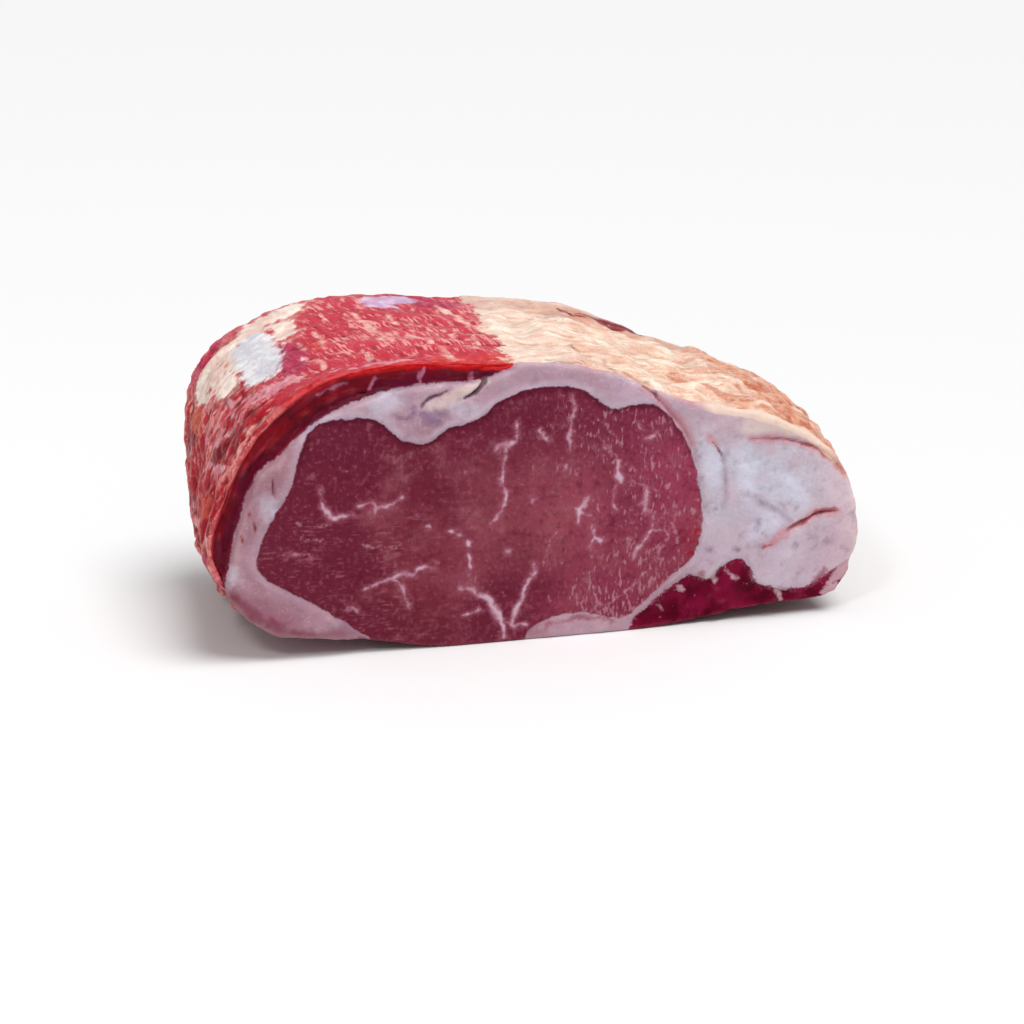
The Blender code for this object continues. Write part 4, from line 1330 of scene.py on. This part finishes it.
# %% Lean of the eye
def eye_lean(f, s):
    right = (s.x.rise(-60, 60) * 0.8 + s.broad * 1.2).rise(0, 1)
    layers = Layers(f, f.mix(right, hue(108, 30, 52), hue(154, 60, 88)))
    high = (s.z + s.mid * 20).rise(54, 80)
    layers.add(high * 0.5, 104, 26, 52)
    brown = (s.broad * 2.4 + s.mid * 1.6 + s.z.rise(60, 36) * 0.3).rise(0.1, 0.8)
    layers.add(brown * 0.45, 146, 66, 74)
    centre = s.z.rise(16, 40) * s.z.rise(78, 56) * s.x.rise(-38, -22) * s.x.rise(40, 6)
    layers.add(centre * 0.4, 156, 80, 90)
    dim = s.x.rise(14, 32) * s.z.rise(46, 30) + s.x.rise(-62, -52) * s.x.rise(-30, -40)
    layers.add(dim * 0.25, 110, 34, 44)
    veil = (s.mid * 2 + s.broad * 1.6 + s.small).rise(0, 0.9)
    layers.add(veil * 0.3, 152, 90, 108)
    layers.add((s.mid * -2.6 + s.small).rise(0.1, 0.9) * 0.45, 106, 16, 48)
    layers.add((s.small * 3).rise(0, 0.8) * 0.45, 92, 8, 30)
    mottle = s.specks * 2.4 + s.fine * 0.6
    layers.add(mottle.rise(0.05, 0.8) * 0.5, 166, 84, 104)
    layers.add((mottle * -1).rise(0.1, 0.8) * 0.45, 84, 4, 26)
    wisps = s.tendrils.rise(0.03, 0) * (s.mid * 2.6 + s.x.rise(-40, 40) * 0.4).rise(0.15, 0.8)
    layers.add(wisps * 0.16, 198, 146, 164)
    smears = (s.small * 2 + s.mid * 1.4 + s.dashes).rise(0.1, 0.9)
    layers.add(smears * 0.4, 178, 104, 122)
    level = (s.level * 2.4 + s.mid).rise(0.1, 0.7) * s.x.rise(-20, -56) * s.z.rise(60, 44)
    layers.add(level * 0.45, 170, 98, 114)
    crumbs = s.x.rise(-20, 30) * 0.26 - 0.12 + s.z.rise(26, 12) * s.x.rise(-10, 20) * 0.12
    specks = (s.small * 1.4 + s.specks * 1.6 + s.mid * 0.5 + crumbs).rise(0.4, 0.7)
    layers.add(specks * 0.35, 196, 138, 158)
    dashes = (s.dashes * 2.2 + s.mid * 0.8 + crumbs * 1.6).rise(0.42, 0.68)
    layers.add(dashes * 0.5, 198, 142, 158)
    rind = (s.eye_depth + s.frayed * 1.6).rise(2.8, 0.4) * s.z.rise(56, 74)
    layers.add(rind * 0.65, 80, 2, 34)
    ruddy = (s.x + s.frayed * 2).rise(46, 53) * s.z.rise(44, 34)
    layers.add(ruddy * (s.small * 3 + 0.4).rise(0, 1) * 0.8, 156, 10, 28)
    fibre = (s.fibre + s.frayed * 0.9).rise(-0.6, 0.3) * (s.fine * 3 + 0.6).rise(0, 1)
    layers.add(fibre * 0.5, 200, 140, 156)
    halo = (s.vein + s.frayed * 2).rise(-1.8, 0.4)
    layers.add(halo * 0.5, 168, 96, 116)
    core = (s.vein + s.frayed * 1.2 + s.mid * 1.2).rise(-0.45, 0.7)
    layers.add(core * 0.7, 200, 154, 174)
    layers.add((s.vein + s.small * 3 - 0.2).rise(0, 0.9) * 0.55, 222, 194, 212)
    return layers.colour


print("the eye's red from left to right:", hue(108, 30, 52)[:3], hue(154, 60, 88)[:3])

# %% [markdown]
# ## The cap muscle on the cut
#
# The cap's cut band has dried to a dark blood red with a scarlet edge. Noise by place alone
# would run its streaks straight across the bend. Here they follow the rim, because their noise
# reads the distance from it in place of x.

# %% Lean of the cap's cut
SCARLET_EDGE = (3.8, 2.2)        # so far from the rim the scarlet starts and is full


def cap_cut(f, s):
    on_top = (s.x + s.small * 10).rise(-84, -66)
    inner = s.cap_depth.rise(5, 1)
    layers = Layers(f, f.mix((s.band * 2.8 + 0.4).rise(0, 0.9), hue(116, 0, 10), hue(104, 10, 36)))
    layers.add((s.mid * 3 + s.small * 1.5 + 0.3).rise(0, 1) * (0.75 - on_top * 0.5), 146, 4, 18)
    layers.add((s.mid * -3 - s.small * 1.5).rise(0.1, 0.9) * 0.7, 70, 0, 28)
    layers.add(inner * 0.6, 78, 4, 42)
    layers.add((s.band_fine * 2.6 + s.small * 1.6).rise(0.25, 0.95) * 0.35, 156, 44, 70)
    layers.add((s.band * -3).rise(0.1, 0.9) * 0.6, 60, 0, 12)
    edge = (s.rim + s.frayed + s.mid * 3).rise(*SCARLET_EDGE) * on_top
    layers.add(edge * 0.9, 192, 10, 14)
    strand = (s.strand + s.frayed).rise(-0.6, 0.4)
    layers.add(strand * 0.7, 190, 112, 142)
    ragged = (s.rim + s.frayed * 2 + s.small * 4 + s.mid * 3).rise(1.8, 0.2) * (1 - on_top)
    layers.add(ragged * 0.4, 190, 48, 54)
    return layers.colour


print("the band is scarlet up to", SCARLET_EDGE[0], "mm from the rim")

# %% [markdown]
# ## The cap muscle outside
#
# Outside, the cap is bright red with pale strings along its grain, silverskin, streaks of fat and
# dark spots, some of them painted shade in a small hole. Its left side has painted highlights on
# its ridges, and one pale streak along the left front rim is a painted highlight too. Silverskin
# could be a sheet of its own, but it is thinner than any mesh worth having. So each mark is a
# layer, frayed by the noises and pulled out along the strings.

# %% Lean of the cap's outside
# The mark, its two shades, its strength, how much the noise and the strings fray its edge, and
# how far inside it starts and is full, in millimetres.
SKIN_COLOURS = [
    ("rosy", hue(160, 40, 80), hue(184, 66, 102), 0.7, 4, 3, -1.5, 1.5),
    ("ember", hue(206, 52, 44), hue(228, 104, 84), 0.5, 4, 6, -2, 2),
    ("dark", hue(104, 0, 12), hue(140, 4, 22), 0.85, 2, 6, -0.9, 0.7),
    ("pale", hue(208, 130, 146), hue(236, 184, 190), 0.7, 2.2, 8, -0.9, 1),
    ("streak", hue(226, 148, 144), hue(246, 208, 196), 0.8, 1.6, 3.4, -0.9, 1),
    ("cream", hue(196, 92, 98), hue(230, 158, 150), 0.6, 4, 5, -4, -1),
    ("cream", hue(230, 200, 188), hue(250, 238, 226), 0.95, 4, 2.5, -0.8, 1.4),
    ("silver", hue(210, 210, 218), hue(240, 238, 240), 0.95, 4, 1.5, -2, 1.2),
    ("lilac", hue(196, 164, 200), hue(226, 206, 226), 0.9, 1.8, 2, -1, 1),
    ("orange", hue(190, 90, 52), hue(226, 144, 100), 0.6, 4, 5, -2, 1.5),
    ("scarlet", hue(180, 4, 8), hue(204, 16, 18), 0.9, 1.2, 3, -0.6, 0.6),
]


def cap_skin(f, s):
    top = s.z.rise(84, 96)
    front_edge = s.y.rise(-30, -40)
    along = top * (1 - front_edge)
    streaks = s.long_strings * along + s.rim_strings * (1 - along)
    strands = s.long_strands * along + s.rim_strands * (1 - along)
    layers = Layers(f, f.mix(top, hue(172, 28, 42), hue(192, 56, 72)))
    layers.add((s.broad * 2.2 + 0.2).rise(0, 0.8) * 0.5, 206, 84, 98)
    layers.add((streaks * -2.8 + s.small * 1.4).rise(0.1, 0.8) * 0.7, 140, 6, 22)
    layers.add((s.fine * 2.6 + streaks * 1.4).rise(0.15, 0.9) * 0.5, 224, 112, 122)
    layers.add((strands * 3 + s.small * 1.6 + s.broad * 1.4).rise(0.05, 0.6) * 0.75, 236, 168, 164)
    layers.add((s.specks * 2.2).rise(0.45, 0.65) * 0.6, 240, 192, 184)
    low = (s.z + s.small * 14).rise(52, 30)
    layers.add(low * (s.small * 3 + 0.5).rise(0.2, 0.8), 120, 4, 30)
    side = s.x.rise(-84, -98)
    mottle = side * (s.small * 1.8 + s.mid * 3)
    layers.add(mottle.rise(0.1, 0.7) * 0.85, 112, 0, 16)
    layers.add((mottle * -1).rise(0.15, 0.8) * 0.45, 222, 104, 104)
    # Painted highlight: cream-orange light on the ridges of the left side, where the hollow field is
    # negative.
    painted_side_highlight = (s.fine - s.mid * 1.6 - s.small * 1.4 + s.hollow.rise(0, -0.5) * 0.4).rise(0.2, 0.8)
    layers.add(side * painted_side_highlight * 0.55, 240, 176, 154)
    two_tone = (s.small * 2.4 + s.mid * 2 + 0.4).rise(0, 1)
    for name, first, second, strength, fray, fibre, start, full in SKIN_COLOURS:
        spread = getattr(s, name) + s.frayed * fray + streaks * fibre
        layers.add(spread.rise(start, full) * strength, f.mix(two_tone, first, second))
    return layers.colour


print(len(SKIN_COLOURS), "kinds of marks on the cap's outside")

# %% [markdown]
# ## The tail muscle
#
# The tail is the darkest, almost purple, with a pale fringe where it tears off the fat and a few
# strands of gristle. Being small and in the shade it needs only a few layers.

# %% Lean of the tail
def tail_lean(f, s):
    layers = Layers(f, f.mix((s.mid * 2.6 + 0.5).rise(0, 1), hue(84, 0, 24), hue(130, 10, 54)))
    layers.add((s.small * 3.2).rise(0.1, 0.9) * 0.6, 58, 0, 12)
    layers.add((s.fine * 3.2).rise(0.2, 0.9) * 0.35, 152, 38, 80)
    layers.add((s.specks * 2 + s.small * 1.4).rise(0.5, 0.72) * 0.7, 186, 116, 144)
    fringe = (s.tail_depth + s.frayed * 2.4).rise(2.6, 0.4) * (s.small * 3 + s.fine * 2).rise(-0.1, 0.7)
    layers.add(fringe * 0.7, 190, 118, 146)
    gristle = (s.gristle + s.frayed * 1.4).rise(-0.8, 0.6)
    layers.add(gristle * 0.85, 206, 168, 180)
    return layers.colour


print("the tail's red from dark to light:", hue(84, 0, 24)[:3], hue(130, 10, 54)[:3])

# %% [markdown]
# ## What every look reads
#
# All the looks read the same things at a point: its place, the painted fields and a set of
# noises, from broad tones of 30 mm down to grains of 1 mm. Each look could make its own noises,
# but then they wouldn't agree at the borders, and every noise costs render time. So they are
# made once. Stretched noises are the strings: those of the top lean over, and those of the cap's
# band read the distance from the rim in place of x.

# %% Readings
DEPTHS = ("eye_depth", "cap_depth", "tail_depth", "cut", "rim", "hollow", "vein")
# A noise's size in millimetres, one or along x, y and z, and its detail.
GRAINS = {
    "broad": (30, 2), "mid": (9, 3), "small": (3.2, 3), "fine": (1, 2), "specks": (1.5, 1),
    "folded": ((4, 4, 8), 2), "dashes": ((1.2, 4, 3.4), 1), "level": ((5, 4, 1), 1),
    "round_strings": ((9, 2.8, 9), 2), "round_strings_wide": ((22, 8, 22), 2),
    "round_strings_fine": ((6, 1.6, 6), 2), "rim_strings": ((8, 2.4, 8), 2),
    "rim_strands": ((5, 1.5, 5), 2),
}
LEANING_GRAINS = {"long_strings": ((1.8, 12, 2.4), 2), "long_strands": ((0.9, 7, 1.6), 2)}
BAND_GRAINS = {"band": ((2.4, 16, 16), 2), "band_fine": ((0.9, 10, 10), 2)}


def readings(f):
    """Everything that the looks read, each under its own name."""
    at = f.node("ShaderNodeTexCoord", output="Object") * (1 / MM, 1 / MM, 1 / MM)
    xyz = f.node("ShaderNodeSeparateXYZ", inputs={0: at}).socket.node
    s = types.SimpleNamespace(**{axis: Signal(f, xyz.outputs[axis.upper()]) for axis in "xyz"})
    for name in (*DEPTHS, *CUT_MARKS, *SKIN_MARKS):
        setattr(s, name, f.field(name))
    leaning = f.node("ShaderNodeCombineXYZ", inputs={0: s.x + s.y * SLANT, 1: s.y, 2: s.z})
    from_rim = f.node("ShaderNodeCombineXYZ", inputs={0: s.rim, 1: s.x, 2: s.z})
    for spot, table in ((at, GRAINS), (leaning, LEANING_GRAINS), (from_rim, BAND_GRAINS)):
        for name, (size, detail) in table.items():
            setattr(s, name, f.grain(spot, size, detail))
    s.tendrils = abs(s.folded)
    s.frayed = s.small * 2 + s.fine * 0.8
    s.far_right = s.x.rise(62, 100)
    s.back = s.y.rise(10, 44)
    return s


print(len(GRAINS) + len(LEANING_GRAINS) + len(BAND_GRAINS), "noises for all the looks together")

# %% [markdown]
# ## One network, four materials
#
# Where fat meets lean the edge is frayed. Four separate materials would stop at the mesh's seam,
# in a clean line. So all four are built by one function, which knows every tissue's look and
# mixes them by how deep the point is in each muscle. Then painted shade darkens the hollows and
# a painted highlight lightens the high ridges.

# %% How the tissues meet
SUNK = (0.04, 0.45)      # so deep in a hollow, in millimetres, the shade starts and is full
PROUD = (-0.06, -0.5)    # and so high on a ridge the light does


def tissue_shares(s):
    """How much of a point is cut face, eye, cap and tail, each 0 to 1 with a frayed border."""
    on_cut = (s.cut + s.fine * 0.5).rise(0.3, 0.7)
    in_eye = (s.eye_depth + s.frayed * 0.9 + s.mid * 1.6).rise(-0.35, 0.35)
    inland = abs(s.y).rise(46, 30)
    feathers = (s.broad * 16 + s.mid * 8) * inland + s.rim_strands * 3 + s.round_strings * 5
    feathers = (feathers + s.mid * 8 + s.small * 4) * (1 - on_cut)
    in_cap = ((s.cap_depth + s.frayed * 1.1 + feathers) / (3 - on_cut * 2)).rise(-0.4, 0.4)
    wander = (s.mid * 16 + s.broad * 20) * inland
    in_tail = (s.tail_depth + s.frayed * 2 + wander).rise(-0.4, 0.4)
    return on_cut, in_eye, in_cap, in_tail


def meat_colour(f, s):
    on_cut, in_eye, in_cap, in_tail = tissue_shares(s)
    lean = f.mix(in_tail, f.mix(on_cut, cap_skin(f, s), cap_cut(f, s)), tail_lean(f, s))
    fat = f.mix(on_cut, dried_fat(f, s), cut_fat(f, s))
    layers = Layers(f, f.mix(in_cap.most(in_tail), fat, lean))
    layers.add(in_eye, eye_lean(f, s))
    lean_share = in_eye.most(in_cap).most(in_tail)
    # Painted shade in the hollows: tan to red-orange on the dried fat, greyish mauve on the cut fat, dark
    # red on the lean.
    dried_fat_hollow_shade = f.mix(s.far_right, hue(192, 132, 108), hue(172, 82, 54))
    fat_hollow_shade = f.mix(on_cut, dried_fat_hollow_shade, hue(140, 96, 116))
    painted_hollow_shade = s.hollow.rise(*SUNK) * (0.65 - on_cut * 0.25)
    layers.add(painted_hollow_shade, f.mix(lean_share, fat_hollow_shade, hue(84, 0, 14)))
    # Painted highlight on the high ridges: pale cream on the fat, pink on the lean.
    painted_ridge_highlight = s.hollow.rise(*PROUD) * (0.3 - on_cut * 0.2)
    layers.add(painted_ridge_highlight, f.mix(lean_share, hue(255, 240, 228), hue(228, 120, 128)))
    return layers.colour


print("hollows are shaded from", SUNK[0], "to", SUNK[1], "mm deep")

# %% [markdown]
# ## Moist and soft
#
# Raw meat is moist and lets some light in. A glossy coat all over would look like plastic. So it
# is half rough with a patchy wet coat, and a little light goes in and comes out redder. The
# finest cords and crumbs are bump, because many are finer than the mesh's own edges.

# %% The meat's material
# What the relief reads, and where each is 0 and 1: the cut, then the depth in the cap and the eye.
BUMP_SHARES = [("cut", 0.3, 0.7), ("cap_depth", -0.4, 0.4), ("eye_depth", -0.35, 0.35)]
ROUGHNESS, COAT_ROUGHNESS = 0.4, 0.18
SOFT_LIGHT, SOFT_RADIUS, SOFT_REACH = 0.3, (1, 0.45, 0.35), 1.2 * MM


def fine_relief(f, s):
    """The Bump node works its height out three times, so it reads the fields with no noise in them."""
    face, cap, eye = (getattr(s, field).rise(low, high) for field, low, high in BUMP_SHARES)
    round_joint = s.round_strings * (1 - cap * s.z.rise(80, 94))
    strings = (round_joint.most(s.long_strings) * (1 - face)).most(s.band * cap * face)
    height = s.small * 0.35 + s.fine * 0.22 + strings * 0.6 + s.specks * eye * 0.25
    return f.node("ShaderNodeBump", {}, {"Strength": 1, "Distance": MM, "Height": height})


def meat(name, coat, gloss):
    f = Finish(name)
    s = readings(f)
    wet = (s.mid * 2 + s.small * 1.5).rise(0, 0.7) * coat
    skin = f.node("ShaderNodeBsdfPrincipled", {}, {
        "Base Color": meat_colour(f, s), "Normal": fine_relief(f, s),
        "Roughness": ROUGHNESS + s.small * 0.2, "Specular IOR Level": gloss,
        "Coat Weight": wet, "Coat Roughness": COAT_ROUGHNESS,
        "Subsurface Weight": SOFT_LIGHT, "Subsurface Radius": SOFT_RADIUS, "Subsurface Scale": SOFT_REACH,
    })
    f.node("ShaderNodeOutputMaterial", {}, {"Surface": skin})
    return f.material


# The record's material slot, and how wet and how glossy the tissue is.
SLOTS = {"eye_muscle": ("eye_lean", 0.12, 0.08), "cap_muscle": ("cap_lean", 0.3, 0.1),
         "tail_muscle": ("tail_lean", 0.1, 0.04), "fat_cover": ("fat", 0.4, 0.25)}
SHARP_EDGE = math.radians(60)
for node, piece in pieces.items():
    slot, coat, gloss = SLOTS[node]
    material = meat(slot, coat, gloss)
    piece.data.materials.clear()
    piece.data.materials.append(material)
    piece.data.shade_smooth()
    piece.data.set_sharp_from_angle(angle=SHARP_EDGE)
    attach(piece, "root")
    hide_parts(node)
    print(piece.name, "wears", slot, "with", len(material.node_tree.nodes), "nodes")

# %% [markdown]
# ## The studio
#
# The photograph is a cut-out on white, lit softly from above, so the top shines and the cut
# face is a little in the shade. A ring of softboxes could do it, but each would light the floor
# in a patch. One very soft sun lights the floor evenly, a weak softbox on the front left gives
# the wet glints, and a bright plain surrounding fills the shade.

# %% Floor and lights
FLOOR_RADIUS, FLOOR_TONE = 6.0, (0.86, 0.86, 0.86, 1.0)
MIDDLE = (0.0, 0.0, 0.05)
SUN_PLACE, SUN_SOFTNESS, SUN_STRENGTH = (0.3, -0.3, 1.2), math.radians(35), 2.3
WINDOW_PLACE, WINDOW_SIZE, WINDOW_POWER = (-0.55, -0.75, 0.95), 0.22, 2.6
SURROUND = 0.4


def studio_floor():
    bm = bmesh.new()
    bmesh.ops.create_circle(bm, cap_ends=True, segments=64, radius=FLOOR_RADIUS)
    mesh = bpy.data.meshes.new("floor")
    bm.to_mesh(mesh)
    bm.free()
    made = bpy.data.objects.new("floor", mesh)
    bpy.context.scene.collection.objects.link(made)
    finish = Finish("pale floor")
    matt = finish.node("ShaderNodeBsdfPrincipled", {}, {
        "Base Color": FLOOR_TONE, "Roughness": 0.9, "Specular IOR Level": 0.1})
    finish.node("ShaderNodeOutputMaterial", {}, {"Surface": matt})
    mesh.materials.append(finish.material)
    made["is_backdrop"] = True


def lamp(name, kind, place, energy, **settings):
    """A lamp of a kind at a place, turned to the middle of the joint."""
    data = bpy.data.lights.new(name, kind)
    data.energy = energy
    for key, value in settings.items():
        setattr(data, key, value)
    hung = bpy.data.objects.new(name, data)
    hung.location = place
    hung.rotation_euler = (Vector(MIDDLE) - Vector(place)).to_track_quat("-Z", "Y").to_euler()
    bpy.context.scene.collection.objects.link(hung)
    return hung


studio_floor()
lamps = [lamp("overhead", "SUN", SUN_PLACE, SUN_STRENGTH, angle=SUN_SOFTNESS),
         lamp("window", "AREA", WINDOW_PLACE, WINDOW_POWER, shape="DISK", size=WINDOW_SIZE)]
world = bpy.data.worlds.new("studio")
bpy.context.scene.world = world
world.use_nodes = True
world.node_tree.nodes["Background"].inputs["Color"].default_value = (1.0, 1.0, 1.0, 1.0)
world.node_tree.nodes["Background"].inputs["Strength"].default_value = SURROUND
bpy.context.scene.view_settings.view_transform = "Standard"
print("lamps:", [hung.name for hung in lamps])

# %% [markdown]
# ## The camera
#
# The photograph looks at the cut face a little from the left and from above. The joint could be
# turned to a straight camera, but its frame is shared with the solids. So the camera goes round
# it, by an azimuth, an elevation and a distance from the point it aims at.

# %% Camera
AZIMUTH, ELEVATION = math.radians(-14), math.radians(18)
DISTANCE, LENS, SENSOR = 0.85, 87.9, 36.0
AIM = Vector((-12.5, -47, 47)) * MM
flat_share = math.cos(ELEVATION)
back_ray = Vector((math.sin(AZIMUTH) * flat_share, -math.cos(AZIMUTH) * flat_share, math.sin(ELEVATION)))
camera_data = bpy.data.cameras.new("camera")
camera_data.lens = LENS
camera_data.sensor_width = SENSOR
camera = bpy.data.objects.new("camera", camera_data)
camera.location = AIM + back_ray * DISTANCE
camera.rotation_euler = back_ray.to_track_quat("Z", "Y").to_euler()
bpy.context.scene.collection.objects.link(camera)
bpy.context.scene.camera = camera
print("the camera stands at", [round(c, 3) for c in camera.location])

# %% [markdown]
# ## Size of the dressed joint
#
# The finished joint is meant to stay in the solid's box but for a millimetre or two. It could be
# measured by hand in the viewport, but a number that is printed can be read each time. So the
# dressed box is measured and printed.

# %% Dressed box
dressed_box = [[float(c) for c in corner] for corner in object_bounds()]
print("dressed box, mm:", in_mm(dressed_box), so_far())
